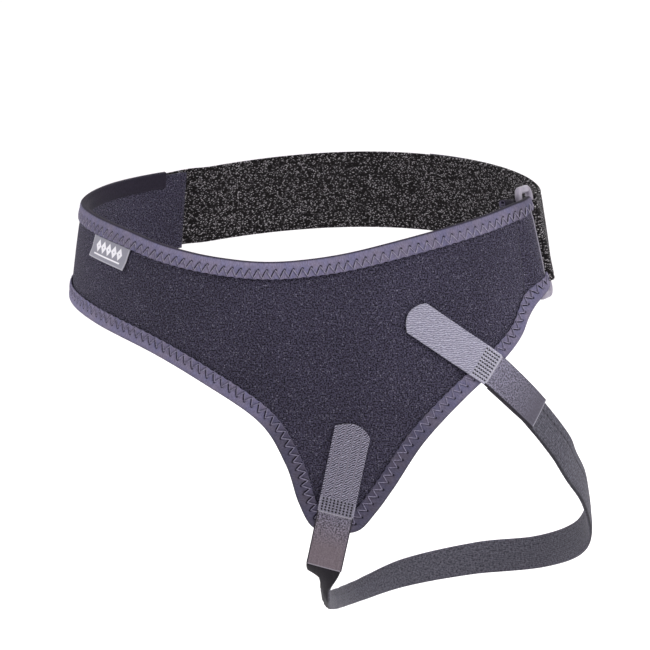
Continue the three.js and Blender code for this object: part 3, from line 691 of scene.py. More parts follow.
@dataclass(frozen=True)
class CoverTape(Finish):
    """Soft-coated twill tape: leathery grain by its sewn end, which runs out into smooth cloth."""

    cloth: str = "#737081"
    far_cloth: str = "#56535f"
    # colour of the painted highlight along the tape's two ends
    edge_highlight: str = "#bbb8c4"
    # colour of the dark cut edge, darkened further as painted shadow on the walls and underside and
    # as painted shade along the two sides
    rim: str = "#221e27"
    grained: tuple[float, float] = (24.0, 44.0)  # millimetres over which the grain runs out
    coarse: float = 0.6  # how much lighter and darker the grain makes the cloth
    left: float = 0.2  # share of the grain that is left past that
    far_start: float = 4.0  # where the cloth begins to turn to its far colour
    half_width: float = 12.0
    side_shade_fade: float = 0.2
    shaded: tuple[float, float] = (0.5, 0.5)  # millimetres of shade along its two sides

    def pattern(self, tree: NodeTree) -> tuple[Node, Node]:
        """Grain that fades along the tape, fine lengthwise threads, a painted highlight at its ends
        and painted shade along its sides.
        """
        place = put(tree, UV_MAP, uv_map="cloth")
        parts = put(tree, SEPARATE, {0: place})
        grain = put(
            tree, NOISE, {"Vector": place, "Scale": per_mm(1.1), "Detail": 1.0, "Roughness": 0.6}
        )
        swing = put(tree, MAP_RANGE, {0: grain, 1: 0.36, 2: 0.64, 3: -self.coarse, 4: self.coarse})
        start, end = self.grained
        fade = put(
            tree,
            MAP_RANGE,
            {0: parts.outputs["X"], 1: start * MM, 2: end * MM, 3: 1.0, 4: self.left},
        )
        faded = put(tree, MATH, {0: swing, 1: fade}, operation="MULTIPLY")
        grained = put(tree, MATH, {0: faded, 1: 1.0}, operation="ADD")
        far = put(tree, MAP_RANGE, {0: parts.outputs["X"], 1: self.far_start * MM, 2: end * MM})
        base = put(tree, MIX, {0: far, 6: self.cloth, 7: self.far_cloth}, data_type="RGBA")
        creased = put(tree, VECTOR_MATH, {0: base, 3: grained}, operation="SCALE")
        stretched = put(tree, MAPPING, {"Vector": place, "Scale": (0.12, 1.0, 1.0)})
        threads = put(tree, NOISE, {"Vector": stretched, "Scale": per_mm(1.2), "Detail": 2.0})
        tone = put(tree, MAP_RANGE, {0: threads, 1: 0.3, 2: 0.7, 3: 0.9, 4: 1.1})
        toned = put(tree, VECTOR_MATH, {0: creased, 3: tone}, operation="SCALE")
        # painted highlight along the tape's ends
        ends = put(tree, ATTRIBUTE, attribute_name="edge_highlight")
        highlit_ends = put(tree, MIX, {0: ends.outputs["Fac"], 6: toned, 7: self.edge_highlight}, data_type="RGBA")
        # painted shadow on the walls and underside over the dark cut edge, and painted shade along
        # the two sides
        dark = put(tree, ATTRIBUTE, attribute_name="inside").outputs["Fac"]
        for side, width in zip((-1, 1), self.shaded):
            edge, fade = side * (self.half_width - width) * MM, side * self.side_shade_fade * MM
            side_shade = put(tree, MAP_RANGE, {0: parts.outputs["Y"], 1: edge - fade, 2: edge + fade})
            dark = put(tree, MATH, {0: dark, 1: side_shade}, operation="MAXIMUM")
        colour = put(tree, MIX, {0: dark, 6: highlit_ends, 7: self.rim}, data_type="RGBA")
        return colour, put(tree, MATH, {0: threads, 1: faded}, operation="ADD")


@dataclass(frozen=True)
class PaddingKnit(Finish):
    """Knitted tube over foam: dark, soft, with a fine broken rib and a dull sheen on its swell."""

    ground: str = "#302e37"
    rib: str = "#62616c"
    # colour of the painted shade in the row of stitches, darkest in its needle holes
    stitch: str = "#0f0d12"
    # colour of the painted shade near one edge and below the groin cover
    painted_shade: str = "#18141c"
    wale: float = 1.4  # millimetres

    def pattern(self, tree: NodeTree) -> tuple[Node, Node]:
        """Ribs along the strap, broken by the knit's rows, with painted shade near one edge, in the
        crotch and in its row of stitches.
        """
        place = put(tree, UV_MAP, uv_map="cloth")
        parts = put(tree, SEPARATE, {0: place})
        phase = put(
            tree,
            MATH,
            {0: parts.outputs["Y"], 1: 2 * math.pi / (self.wale * MM)},
            operation="MULTIPLY",
        )
        ribs = put(tree, MATH, {0: phase}, operation="SINE")
        loops = put(
            tree, NOISE, {"Vector": place, "Scale": per_mm(1.7), "Detail": 2.0, "Roughness": 0.7}
        )
        both = put(tree, MATH, {0: ribs, 1: 0.05, 2: loops}, operation="MULTIPLY_ADD")
        share = put(tree, MAP_RANGE, {0: both, 1: 0.34, 2: 0.66})
        knit = put(tree, MIX, {0: share, 6: self.ground, 7: self.rib}, data_type="RGBA")
        # painted shade near one edge and below the groin cover
        dark = put(tree, ATTRIBUTE, attribute_name="painted_shade")
        shaded_knit = put(tree, MIX, {0: dark.outputs["Fac"], 6: knit, 7: self.painted_shade}, data_type="RGBA")
        # painted shade in the row of stitches and its needle holes
        row = put(tree, ATTRIBUTE, attribute_name="seam_shade")
        colour = put(
            tree, MIX, {0: row.outputs["Fac"], 6: shaded_knit, 7: self.stitch}, data_type="RGBA"
        )
        return colour, both


@dataclass(frozen=True)
class SatinLabel(Finish):
    """Damask woven label: smooth grey satin with a row of white diamonds over a white line."""

    cloth: str = "#8d8c98"
    border: str = "#b0afba"
    woven: str = "#f2f0f6"
    length: float = 42.0
    height: float = 15.0
    diamond: float = 6.2  # millimetres from one diamond to the next
    half_width: float = 3.1
    half_height: float = 4.4
    row_at: float = 5.9  # from the label's top, as the line
    line_at: float = 11.6
    line_half: float = 0.5  # half the line's thickness
    row_half: float = 15.5  # half the length of the row and of the line
    foot: float = 0.9  # width of the border below, and then at the sides
    side: float = 1.0
    soft: float = 0.1  # over which the figure's edges fade; twice that at the border
    weft: float = 0.7

    def pattern(self, tree: NodeTree) -> tuple[Node, Node]:
        """Hollow diamonds over a line, on fine weft ribs, inside a paler border."""
        place = put(tree, UV_MAP, uv_map="cloth")
        parts = put(tree, SEPARATE, {0: place})
        along, down = parts.outputs["X"], parts.outputs["Y"]
        from_middle = put(tree, MATH, {0: along, 1: self.length / 2 * MM}, operation="SUBTRACT")
        out = put(tree, MATH, {0: from_middle}, operation="ABSOLUTE")
        half = self.diamond / 2 * MM
        column_gap = put(tree, MATH, {0: from_middle, 1: half, 2: -half}, operation="WRAP")
        row_gap = put(tree, MATH, {0: down, 1: self.row_at * MM}, operation="SUBTRACT")
        way = put(tree, COMBINE, {"X": column_gap, "Y": row_gap})
        shares = put(
            tree,
            VECTOR_MATH,
            {0: way, 1: (1 / (self.half_width * MM), 1 / (self.half_height * MM), 0)},
            operation="MULTIPLY",
        )
        sizes = put(tree, VECTOR_MATH, {0: shares}, operation="ABSOLUTE")
        reach = put(tree, VECTOR_MATH, {0: sizes, 1: (1, 1, 0)}, operation="DOT_PRODUCT")
        solid = put(tree, MAP_RANGE, {0: reach, 1: 1.05, 2: 0.95})
        hollow = put(tree, MAP_RANGE, {0: reach, 1: 0.12, 2: 0.22})
        diamonds = put(tree, MATH, {0: solid, 1: hollow}, operation="MULTIPLY")
        off_line = put(tree, MATH, {0: down, 1: self.line_at * MM}, operation="SUBTRACT")
        line_gap = put(tree, MATH, {0: off_line}, operation="ABSOLUTE")
        soft = self.soft

        def within(distance: Node | NodeSocket, edge: float, fade: float) -> Node:
            """1 inside an edge and 0 past it, or the other way round for a fade below 0."""
            ends = {1: (edge + fade) * MM, 2: (edge - fade) * MM}
            return put(tree, MAP_RANGE, {0: distance, **ends})

        line = within(line_gap, self.line_half, soft)
        figure = put(tree, MATH, {0: diamonds, 1: line}, operation="MAXIMUM")
        kept = within(out, self.row_half, soft)
        shown = put(tree, MATH, {0: figure, 1: kept}, operation="MULTIPLY")
        to_foot = within(down, self.height - self.foot, -2 * soft)
        to_side = within(out, self.length / 2 - self.side, -2 * soft)
        border = put(tree, MATH, {0: to_foot, 1: to_side}, operation="MAXIMUM")
        weft = put(tree, MATH, {0: down, 1: 2 * math.pi / (self.weft * MM)}, operation="MULTIPLY")
        ribs = put(tree, MATH, {0: weft}, operation="SINE")
        tone = put(tree, MAP_RANGE, {0: ribs, 1: -1.0, 3: 0.93, 4: 1.05})
        ground = put(tree, MIX, {0: border, 6: self.cloth, 7: self.border}, data_type="RGBA")
        figured = put(tree, MIX, {0: shown, 6: ground, 7: self.woven}, data_type="RGBA")
        colour = put(tree, VECTOR_MATH, {0: figured, 3: tone}, operation="SCALE")
        return colour, put(tree, MATH, {0: ribs, 1: 0.3, 2: shown}, operation="MULTIPLY_ADD")


@dataclass(frozen=True)
class SewingThread(Finish):
    """Textured polyester thread: a soft round strand with a faint twist."""

    roughness: float = 0.75
    relief: float = 0.1
    strand: str = "#9a95a6"
    hollow: str = "#767188"

    def pattern(self, tree: NodeTree) -> tuple[Node, Node]:
        """Twist that breaks the strand's colour."""
        place = put(tree, PLACES).outputs["Object"]
        twist = put(tree, NOISE, {"Vector": place, "Scale": per_mm(1.1), "Detail": 2.0})
        share = put(tree, MAP_RANGE, {0: twist, 1: 0.35, 2: 0.6})
        strand = put(tree, MIX, {0: share, 6: self.hollow, 7: self.strand}, data_type="RGBA")
        return strand, twist


@dataclass(frozen=True)
class MouldedPlastic(Finish):
    """Injection moulded acetal: pale lilac grey, softly glossy, a little clouded and scuffed."""

    plastic: str = "#96909e"
    clouded: str = "#7d7785"

    def pattern(self, tree: NodeTree) -> tuple[Node, Node]:
        """Clouds in the colour and fine scuffs in the surface."""
        place = put(tree, PLACES).outputs["Object"]
        clouds = put(tree, NOISE, {"Vector": place, "Scale": per_mm(7), "Detail": 3.0})
        scuffs = put(
            tree, NOISE, {"Vector": place, "Scale": per_mm(0.9), "Detail": 3.0, "Roughness": 0.7}
        )
        share = put(tree, MAP_RANGE, {0: clouds, 1: 0.35, 2: 0.65})
        colour = put(tree, MIX, {0: share, 6: self.plastic, 7: self.clouded}, data_type="RGBA")
        return colour, scuffs


@dataclass(frozen=True)
class PaperSweep(Finish):
    """Matt white studio paper: an even pale ground."""

    paper: str = "#f8f6f8"
    shade: str = "#f3f1f3"

    def pattern(self, tree: NodeTree) -> tuple[Node, Node]:
        """A hardly visible unevenness."""
        place = put(tree, PLACES).outputs["Object"]
        fibres = put(tree, NOISE, {"Vector": place, "Scale": 6.0})
        colour = put(tree, MIX, {0: fibres, 6: self.paper, 7: self.shade}, data_type="RGBA")
        return colour, fibres


HIP_BAND = Band(last=66.6, rows=6)
GROIN_BAND = Band(last=62.6, rows=5)

NEOPRENE = LoopKnit("neoprene_loop_knit", roughness=0.95, relief=0.25, sheen=0.06, specular=0.2)
BINDING = KnitTape("brushed_nylon_binding", roughness=0.9, relief=0.25, sheen=0.04, specular=0.2)
PLUSH = PlushPile("plush_loop_elastic", roughness=1.0, relief=0.6, sheen=0.03, specular=0.15)
CLOSURE_TAPE = WovenTape("herringbone_closure_tape", roughness=0.8, sheen=0.1, valley="#5f5c6a")
HIP_TAPE = WovenTape(
    "wavy_hook_tape",
    roughness=0.8,
    sheen=0.15,
    rib="#aeacbd",
    valley="#7c7a8c",
    spacing=2.3,
    slant=-1.3,
    turn=60.0,
    lean=0.999,
    wander=0.9,
    band=HIP_BAND,
)
GROIN_TAPE = WovenTape(
    "herringbone_hook_tape",
    roughness=0.8,
    sheen=0.1,
    rib="#a19eb0",
    valley="#24212d",
    spacing=1.75,
    band=GROIN_BAND,
)
HIP_COVER = CoverTape(
    "coated_twill_hip_tape", roughness=0.8, relief=0.2, sheen=0.05, shaded=(1.6, 0.5)
)
GROIN_COVER = CoverTape(
    "coated_twill_groin_tape",
    roughness=0.75,
    relief=0.2,
    sheen=0.1,
    cloth="#706b79",
    far_cloth="#756a71",
    coarse=0.8,
    shaded=(0.8, 0.8),
    grained=(8.0, 26.0),
)
PADDING = PaddingKnit("padded_strap_knit", roughness=0.8, relief=0.2, sheen=0.05, specular=0.3)
LABEL = SatinLabel("woven_satin_label", roughness=0.5, relief=0.1, sheen=0.1)
RING = MouldedPlastic("moulded_acetal", roughness=0.42, relief=0.03, specular=0.5, ior=1.48)
SLATE_THREAD = SewingThread("slate_polyester_thread")
DUSKY_THREAD = SewingThread("dusky_polyester_thread", strand="#908ba1", hollow="#6b667d")
PALE_THREAD = SewingThread("pale_polyester_thread", strand="#d8d6e0", hollow="#b3b1bd")
GREY_THREAD = SewingThread("grey_polyester_thread", strand="#8e8b99", hollow="#6b6876")
DARK_THREAD = SewingThread(
    "dark_polyester_thread", roughness=0.8, strand="#55525d", hollow="#3b3943"
)
PAPER = PaperSweep("white_studio_paper", roughness=1.0, relief=0.01, specular=0.0)


# -------------------------------------------------------------------------------------------------
# Seams made by Geometry Nodes


class Seam(Enum):
    """Kinds of seam."""

    ZIGZAG = "zigzag"
    RUNNING = "running"


@dataclass(frozen=True)
class SeamTrees:
    """The two Geometry Nodes trees that sew along a path."""

    sides: int = 6  # corners of the thread's section
    steps: int = 12  # points in one zigzag
    bow_points: int = 5  # points along a short stitch, and corners of its section
    thin: float = 0.45  # share of the thread's radius where a short stitch enters the cloth

    def new_tree(self, name: str, count: str, *lengths: str) -> tuple[NodeTree, NodeOutputs]:
        """Starts a tree with its named inputs.

        Args:
            name: The tree's name.
            count: Name of its whole number, or "" where it has none.
            *lengths: Names of its lengths.

        Returns:
            The tree and what its inputs give.
        """
        tree = bpy.data.node_groups.new(name, "GeometryNodeTree")
        sockets = {"Path": "Geometry", count: "Int", **dict.fromkeys(lengths, "Float")}
        for label, kind in {**sockets, "Thread": "Material"}.items():
            if label:
                tree.interface.new_socket(label, in_out="INPUT", socket_type="NodeSocket" + kind)
        tree.interface.new_socket("Sewn", in_out="OUTPUT", socket_type="NodeSocketGeometry")
        return tree, put(tree, "NodeGroupInput").outputs

    def close_tree(self, tree: NodeTree, given: NodeOutputs, sewn: Node) -> NodeTree:
        """Ends a tree in real, smooth faces with the thread's material."""
        smooth = put(tree, "GeometryNodeSetShadeSmooth", {"Geometry": sewn})
        real = put(tree, "GeometryNodeRealizeInstances", {"Geometry": smooth})
        dressed = put(
            tree,
            "GeometryNodeSetMaterial",
            {"Geometry": real, "Material": given["Thread"]},
        )
        put(tree, "NodeGroupOutput", {"Sewn": dressed})
        return tree

    @cached_property
    def zigzag(self) -> NodeTree:
        """One thread that swings across its path and dips at both sides."""
        tree, given = self.new_tree(
            "zigzag_seam", "Stitches", "Seam width", "Thread radius", "Loft"
        )
        line = put(tree, CURVE, {"Mesh": given["Path"]})
        points = put(
            tree,
            MATH,
            {0: given["Stitches"], 1: self.steps, 2: 1},
            operation="MULTIPLY_ADD",
        )
        spaced = put(tree, RESAMPLE, {"Curve": line, "Count": points}, mode="COUNT")
        index = put(tree, "GeometryNodeInputIndex")
        phase = put(tree, MATH, {0: index, 1: self.steps}, operation="DIVIDE")
        folded = put(tree, MATH, {0: phase, 1: 0.5}, operation="PINGPONG")
        swing = put(tree, MATH, {0: folded, 1: 2.0, 2: -0.5}, operation="MULTIPLY_ADD")
        reach = put(tree, MATH, {0: swing, 1: given["Seam width"]}, operation="MULTIPLY")
        across = put(tree, NAMED, {"Name": "across"}, data_type="FLOAT_VECTOR")
        sideways = put(tree, VECTOR_MATH, {0: across, 3: reach}, operation="SCALE")
        angle = put(tree, MATH, {0: phase, 1: 2 * math.pi}, operation="MULTIPLY")
        sine = put(tree, MATH, {0: angle}, operation="SINE")
        hump = put(tree, MATH, {0: sine}, operation="ABSOLUTE")
        rise = put(
            tree,
            MATH,
            {0: hump, 1: given["Loft"]},
            operation="MULTIPLY",
        )
        outward = put(tree, NAMED, {"Name": "outward"}, data_type="FLOAT_VECTOR")
        upwards = put(tree, VECTOR_MATH, {0: outward, 3: rise}, operation="SCALE")
        offset = put(tree, VECTOR_MATH, {0: sideways, 1: upwards}, operation="ADD")
        swung = put(tree, MOVE, {"Geometry": spaced, "Offset": offset})
        section = put(tree, CIRCLE, {"Resolution": self.sides, "Radius": given["Thread radius"]})
        tube = put(tree, TUBE, {"Curve": swung, "Profile Curve": section, "Fill Caps": True})
        return self.close_tree(tree, given, tube)

    @cached_property
    def running(self) -> NodeTree:
        """Separate short stitches along a path, each bowed over the cloth."""
        tree, given = self.new_tree(
            "running_seam", "", "Pitch", "Stitch length", "Thread radius", "Loft"
        )
        line = put(tree, CURVE, {"Mesh": given["Path"]})
        spaced = put(tree, RESAMPLE, {"Curve": line, "Length": given["Pitch"]}, mode="LENGTH")
        bar = put(
            tree,
            "GeometryNodeCurvePrimitiveLine",
            {"Start": (-0.5, 0.0, 0.0), "End": (0.5, 0.0, 0.0)},
        )
        bar_points = put(tree, RESAMPLE, {"Curve": bar, "Count": self.bow_points}, mode="COUNT")
        share = put(tree, "GeometryNodeSplineParameter")
        angle = put(tree, MATH, {0: share, 1: math.pi}, operation="MULTIPLY")
        bow = put(tree, MATH, {0: angle}, operation="SINE")
        rise = put(tree, MATH, {0: bow, 1: given["Loft"]}, operation="MULTIPLY")
        here = put(tree, "GeometryNodeInputPosition")
        scaled = put(tree, VECTOR_MATH, {0: here, 3: given["Stitch length"]}, operation="SCALE")
        lift = put(tree, COMBINE, {"Z": rise})
        bowed_place = put(tree, VECTOR_MATH, {0: scaled, 1: lift}, operation="ADD")
        bowed = put(tree, MOVE, {"Geometry": bar_points, "Position": bowed_place})
        taper = put(tree, MAP_RANGE, {0: bow, 3: self.thin, 4: 1.0})
        section = put(
            tree,
            CIRCLE,
            {"Resolution": self.bow_points, "Radius": given["Thread radius"]},
        )
        stitch = put(
            tree,
            TUBE,
            {"Curve": bowed, "Profile Curve": section, "Scale": taper, "Fill Caps": True},
        )
        tangent = put(tree, "GeometryNodeInputTangent")
        outward = put(tree, NAMED, {"Name": "outward"}, data_type="FLOAT_VECTOR")
        turned = put(
            tree,
            "FunctionNodeAxesToRotation",
            {"Primary Axis": outward, "Secondary Axis": tangent},
            primary_axis="Z",
            secondary_axis="X",
        )
        placed = put(
            tree,
            "GeometryNodeInstanceOnPoints",
            {"Points": spaced, "Instance": stitch, "Rotation": turned},
        )
        return self.close_tree(tree, given, placed)


TREES = SeamTrees()


def sew(
    name: str,
    lines: list[tuple[Array, Array, Array]],
    kind: Seam,
    finish: Finish,
    sizes: dict[str, float],
) -> Object:
    """Sews a seam and turns it into a plain mesh.

    Args:
        name: The seam's name.
        lines: For each line of the seam its points, then its outward and its sideways directions.
        kind: The kind of seam.
        finish: The thread.
        sizes: The tree's sizes by name, in millimetres, apart from the number of stitches.

    Returns:
        The seam's object.
    """
    points = np.concatenate([line[0] for line in lines])
    edges, start = [], 0
    for line in lines:
        count = len(line[0])
        first = np.arange(start, start + count - 1)
        edges.append(np.stack([first, first + 1], -1))
        start += count
    path = bpy.data.meshes.new(name + "_path")
    path.from_pydata((points * MM).tolist(), np.concatenate(edges).tolist(), [])
    for label, k in (("outward", 1), ("across", 2)):
        values = unit(np.concatenate([line[k] for line in lines]))
        attribute = path.attributes.new(label, "FLOAT_VECTOR", "POINT")
        attribute.data.foreach_set("vector", values.ravel().astype(np.float32))
    maker = add_object(name + "_maker", path)
    tree = TREES.zigzag if kind is Seam.ZIGZAG else TREES.running
    modifier = maker.modifiers.new("seam", "NODES")
    modifier.node_group = tree
    keys = {
        item.name: item.identifier
        for item in tree.interface.items_tree
        if item.item_type == "SOCKET" and item.in_out == "INPUT"
    }
    for label, value in sizes.items():
        modifier[keys[label]] = value if label == "Stitches" else value * MM
    modifier[keys["Thread"]] = finish.material()
    ready = maker.evaluated_get(bpy.context.evaluated_depsgraph_get())
    mesh = bpy.data.meshes.new_from_object(ready)
    mesh.name = name
    maker.modifiers.remove(modifier)
    bpy.data.objects.remove(maker)
    bpy.data.meshes.remove(path)
    for attribute in [a for a in mesh.attributes if a.name in ("outward", "across")]:
        mesh.attributes.remove(attribute)
    if not mesh.materials:
        mesh.materials.append(finish.material())
    return add_object(name, mesh)


# -------------------------------------------------------------------------------------------------
# The form that the belt is worn on, and where its layers lie


class Side(Enum):
    """The panel's two long edges, and the direction from each into the panel."""

    LOWER = 1
    UPPER = -1


class Join(Enum):
    """Where a tab joins its cover: shares of half the girth and the tip's drop, then degrees."""

    HIP = (0.3154, -0.399, -37.5, -44.0)
    GROIN = (0.0794, -0.9164, -104.0, -105.0)


@dataclass(frozen=True)
class WornForm:
    """Horizontal sections of the form that the belt has when worn."""

    hip_width: float = 376.0
    hip_front: float = 115.0
    hip_back: float = 126.0
    crotch_drop: float = 255.0
    girth_level: float = -0.157
    # height as a share of crotch_drop, then shares of half hip_width, hip_front and hip_back
    sections: tuple[tuple[float, ...], ...] = (
        (-1.06, 1.0, 0.61, 0.87),
        (-0.9, 1.0, 0.74, 0.92),
        (-0.745, 0.995, 0.86, 0.97),
        (-0.59, 0.973, 0.94, 1.0),
        (-0.39, 0.942, 1.0, 1.0),
        (-0.157, 0.9, 1.0, 0.968),
        (0.0, 0.872, 0.974, 0.93),
        (0.118, 0.846, 0.94, 0.89),
        (0.235, 0.82, 0.905, 0.857),
        (0.353, 0.787, 0.87, 0.825),
    )

    def section(self, height: Array) -> tuple[Array, Array, Array]:
        """The body's half width, front and back at a height."""
        rows = np.array(self.sections)
        share = np.asarray(height, float) / self.crotch_drop
        sizes = (self.hip_width / 2, self.hip_front, self.hip_back)
        return tuple(column(rows, k + 1, share) * size for k, size in enumerate(sizes))

    def point(self, turn: Array, height: Array) -> Array:
        """Point of the body at a turn from the front, in radians, and a height."""
        half, front, back = self.section(height)
        depth = np.where(np.cos(turn) > 0, front, back)
        parts = (half * np.sin(turn), -depth * np.cos(turn), height)
        return np.stack(np.broadcast_arrays(*parts), -1)

    @cached_property
    def girth_table(self) -> tuple[Array, Array]:
        """Turns over half the body, and the length round it up to each."""
        turns = np.linspace(0, math.pi, 361)
        level = np.full(361, self.girth_level * self.crotch_drop)
        return turns, lengths_along(self.point(turns, level))

    @property
    def half_girth(self) -> float:
        """Length from the belly's middle to the back's middle."""
        return float(self.girth_table[1][-1])

    def turn_at(self, along: Array) -> Array:
        """Turn at a length round the body, measured from the belly's middle."""
        turns, lengths = self.girth_table
        rounds = np.round(along / (2 * self.half_girth))
        rest = along - rounds * 2 * self.half_girth
        return rounds * 2 * math.pi + np.sign(rest) * np.interp(np.abs(rest), lengths, turns)

    def normal(self, along: Array, height: Array) -> Array:
        """Outward direction of the body at a length round it and a height."""
        turn = self.turn_at(along)
        sideways = self.point(turn + 0.01, height) - self.point(turn - 0.01, height)
        upwards = self.point(turn, height + 1) - self.point(turn, height - 1)
        return unit(np.cross(sideways, upwards))

    def lifted(self, along: Array, height: Array, lift: Array) -> Array:
        """Point at a length round the body and a height, lifted off the body."""
        along, height, lift = np.broadcast_arrays(
            *(np.asarray(x, float) for x in (along, height, lift))
        )
        out = self.normal(along, height) * lift[..., None]
        return self.point(self.turn_at(along), height) + out

    def stretch(self, height: Array) -> Array:
        """Real length of one unit round the body at a height."""
        level = self.girth_level * self.crotch_drop
        return self.section(height)[0] / self.section(np.array(level))[0]


@dataclass(frozen=True)
class Layout:
    """Where the belt's layers lie on the form, with the sizes that several pieces share."""

    form: WornForm = field(default_factory=WornForm)
    tip_drop: float = 183.0
    side_rise: float = 38.0
    panel_thickness: float = 3.0
    binding_width: float = 11.5
    binding_thickness: float = 0.9
    fold_length: float = 24.0
    bar_width: float = 5.0
    slot_width: float = 16.0
    slot_margin: float = 2.2
    ring_lift: float = -2.8
    ring_lean: float = 5.0
    ring_ramp: float = 22.0
    strap_width: float = 57.0
    strap_thickness: float = 2.0
    strap_sink: float = 1.5
    strap_rise: float = 17.0
    strap_seam: float = 17.0
    seam_ramp: float = 20.0
    strap_return: float = 130.0
    tab_band: float = 14.0
    # along and height of the lower edge, then of the upper edge: shares of half the girth, of the
    # tip's drop and of the side's rise
    outline: tuple[tuple[float, ...], ...] = (
        (-0.725, -0.131, -0.725, 1.0),
        (-0.585, -0.183, -0.585, 0.85),
        (-0.444, -0.23, -0.473, 0.7),
        (-0.325, -0.276, -0.363, 0.58),
        (-0.198, -0.35, -0.264, 0.42),
        (-0.097, -0.459, -0.187, 0.23),
        (-0.02, -0.583, -0.121, 0.11),
        (0.014, -0.735, -0.066, 0.05),
        (0.029, -0.88, -0.026, 0.03),
        (0.046, -0.978, 0.011, 0.045),
        (0.076, -1.0, 0.048, 0.09),
        (0.108, -0.99, 0.088, 0.16),
        (0.133, -0.92, 0.127, 0.25),
        (0.16, -0.825, 0.171, 0.37),
        (0.207, -0.652, 0.22, 0.5),
        (0.268, -0.503, 0.277, 0.645),
        (0.339, -0.372, 0.335, 0.785),
        (0.379, -0.288, 0.377, 0.885),
        (0.408, -0.188, 0.408, 0.95),
        (0.437, -0.143, 0.437, 1.0),
    )

    # -- the panel's edges

    @cached_property
    def edge_points(self) -> dict[Side, Array]:
        """Points of the two finished edges, as along and height."""
        rows = np.array(self.outline)
        girth = self.form.half_girth
        return {
            Side.LOWER: rows[:, 0:2] * (girth, self.tip_drop),
            Side.UPPER: rows[:, 2:4] * (girth, self.side_rise),
        }

    def edge(self, side: Side, share: Array) -> Array:
        """Point of a finished edge at a share of its rows."""
        return even_spline(self.edge_points[side], share)

    def share_at(self, side: Side, along: float) -> float:
        """Share of an edge at which it reaches a length along the belt."""
        shares = np.linspace(0, 1, 4001)
        return float(np.interp(along, self.edge(side, shares)[:, 0], shares))

    def inward(self, side: Side, share: Array) -> Array:
        """Direction from an edge into the panel, upright at the panel's two ends."""
        share = np.asarray(share, float)
        step = self.edge(side, np.minimum(share + 0.002, 1)) - self.edge(
            side, np.maximum(share - 0.002, 0)
        )
        step = unit(step)
        into = np.stack([-step[..., 1], step[..., 0]], -1) * side.value
        upright = np.stack([np.zeros_like(share), 1 / into[..., 1]], -1)
        middle = np.minimum(share, 1 - share) / 0.06
        return blend(into, upright, 1 - ease(middle, 0, 1))

    def inset(self, side: Side, share: Array, distance: Array) -> Array:
        """Point inside an edge by a distance, as along and height."""
        distance = np.asarray(distance, float)[..., None]
        return self.edge(side, share) + self.inward(side, share) * distance

    @cached_property
    def tape_start(self) -> float:
        """Share of the edges at which the binding comes out from under the back strap."""
        first = self.edge_points[Side.LOWER][0, 0]
        return self.share_at(Side.LOWER, first + self.strap_seam + CLEARANCE)

    # -- the ring's seat

    @cached_property
    def panel_end(self) -> tuple[float, float, float]:
        """The panel's end along the belt, and the heights of its lower and upper corner."""
        low, high = self.edge_points[Side.LOWER][-1], self.edge_points[Side.UPPER][-1]
        return float(low[0]), float(low[1]), float(high[1])

    @property
    def half_pitch(self) -> float:
        """Half the distance between the ring's two bars."""
        return (self.slot_width + self.bar_width) / 2

    @property
    def half_slot(self) -> float:
        """Half the height of the ring's slot."""
        return (self.panel_end[2] - self.panel_end[1]) / 2 + self.slot_margin

    @property
    def ring_along(self) -> float:
        """The ring's middle along the belt."""
        return self.panel_end[0] + self.half_pitch

    @property
    def ring_height(self) -> float:
        """The ring's middle height."""
        return (self.panel_end[1] + self.panel_end[2]) / 2

    @property
    def rear_bar(self) -> float:
        """The ring's rear bar along the belt."""
        return self.ring_along + self.half_pitch

    @cached_property
    def ring_axes(self) -> tuple[Array, Array, Array, Array]:
        """The ring's middle, and its directions to the rear, upwards and out."""
        along, height = np.array(self.ring_along), np.array(self.ring_height)
        upright = self.form.normal(along, height)
        rear = unit(np.cross((0.0, 0.0, 1.0), upright))
        lean = Matrix.Rotation(-math.radians(self.ring_lean), 3, Vector(rear))
        out = np.array(lean @ Vector(upright))
        return self.form.lifted(along, height, 0.0), rear, np.cross(out, rear), out

    def ring_point(self, rear: Array, rise: Array, out: Array) -> Array:
        """Point at distances from the ring's middle."""
        middle, *axes = self.ring_axes
        parts = np.broadcast_arrays(*(np.asarray(x, float) for x in (rear, rise, out)))
        return middle + sum(part[..., None] * axis for part, axis in zip(parts, axes))

    def belt_point(self, along: Array, height: Array, lift: Array) -> Array:
        """Point of the belt, flat where it meets the ring and on the body elsewhere."""
        away = np.abs(along - self.ring_along) - self.half_pitch
        flat = 1 - ease(away, 0, self.ring_ramp)
        on_body = self.form.lifted(along, height, lift)
        at_ring = self.ring_point(along - self.ring_along, height - self.ring_height, lift)
        return blend(on_body, at_ring, np.broadcast_to(flat, on_body.shape[:-1]))

    # -- the panel and its fold

    @property
    def strap_bend(self) -> float:
        """Radius of the skin that lies next to the ring's bar."""
        return self.bar_width / 2 + PASS_CLEARANCE

    @property
    def bend_radius(self) -> float:
        """Radius of the panel's inner skin round the bar, with the tape under it."""
        return self.strap_bend + self.binding_thickness + CLEARANCE

    def panel_lift(self, along: Array) -> Array:
        """Lift of the panel's inner skin."""
        end = self.panel_end[0]
        return ease(along, end - self.ring_ramp, end) * (self.ring_lift + self.bend_radius)

    def panel_point(self, along: Array, height: Array, out: Array) -> Array:
        """Point of the panel at a distance out from its inner skin."""
        return self.belt_point(along, height, self.panel_lift(along) + out)

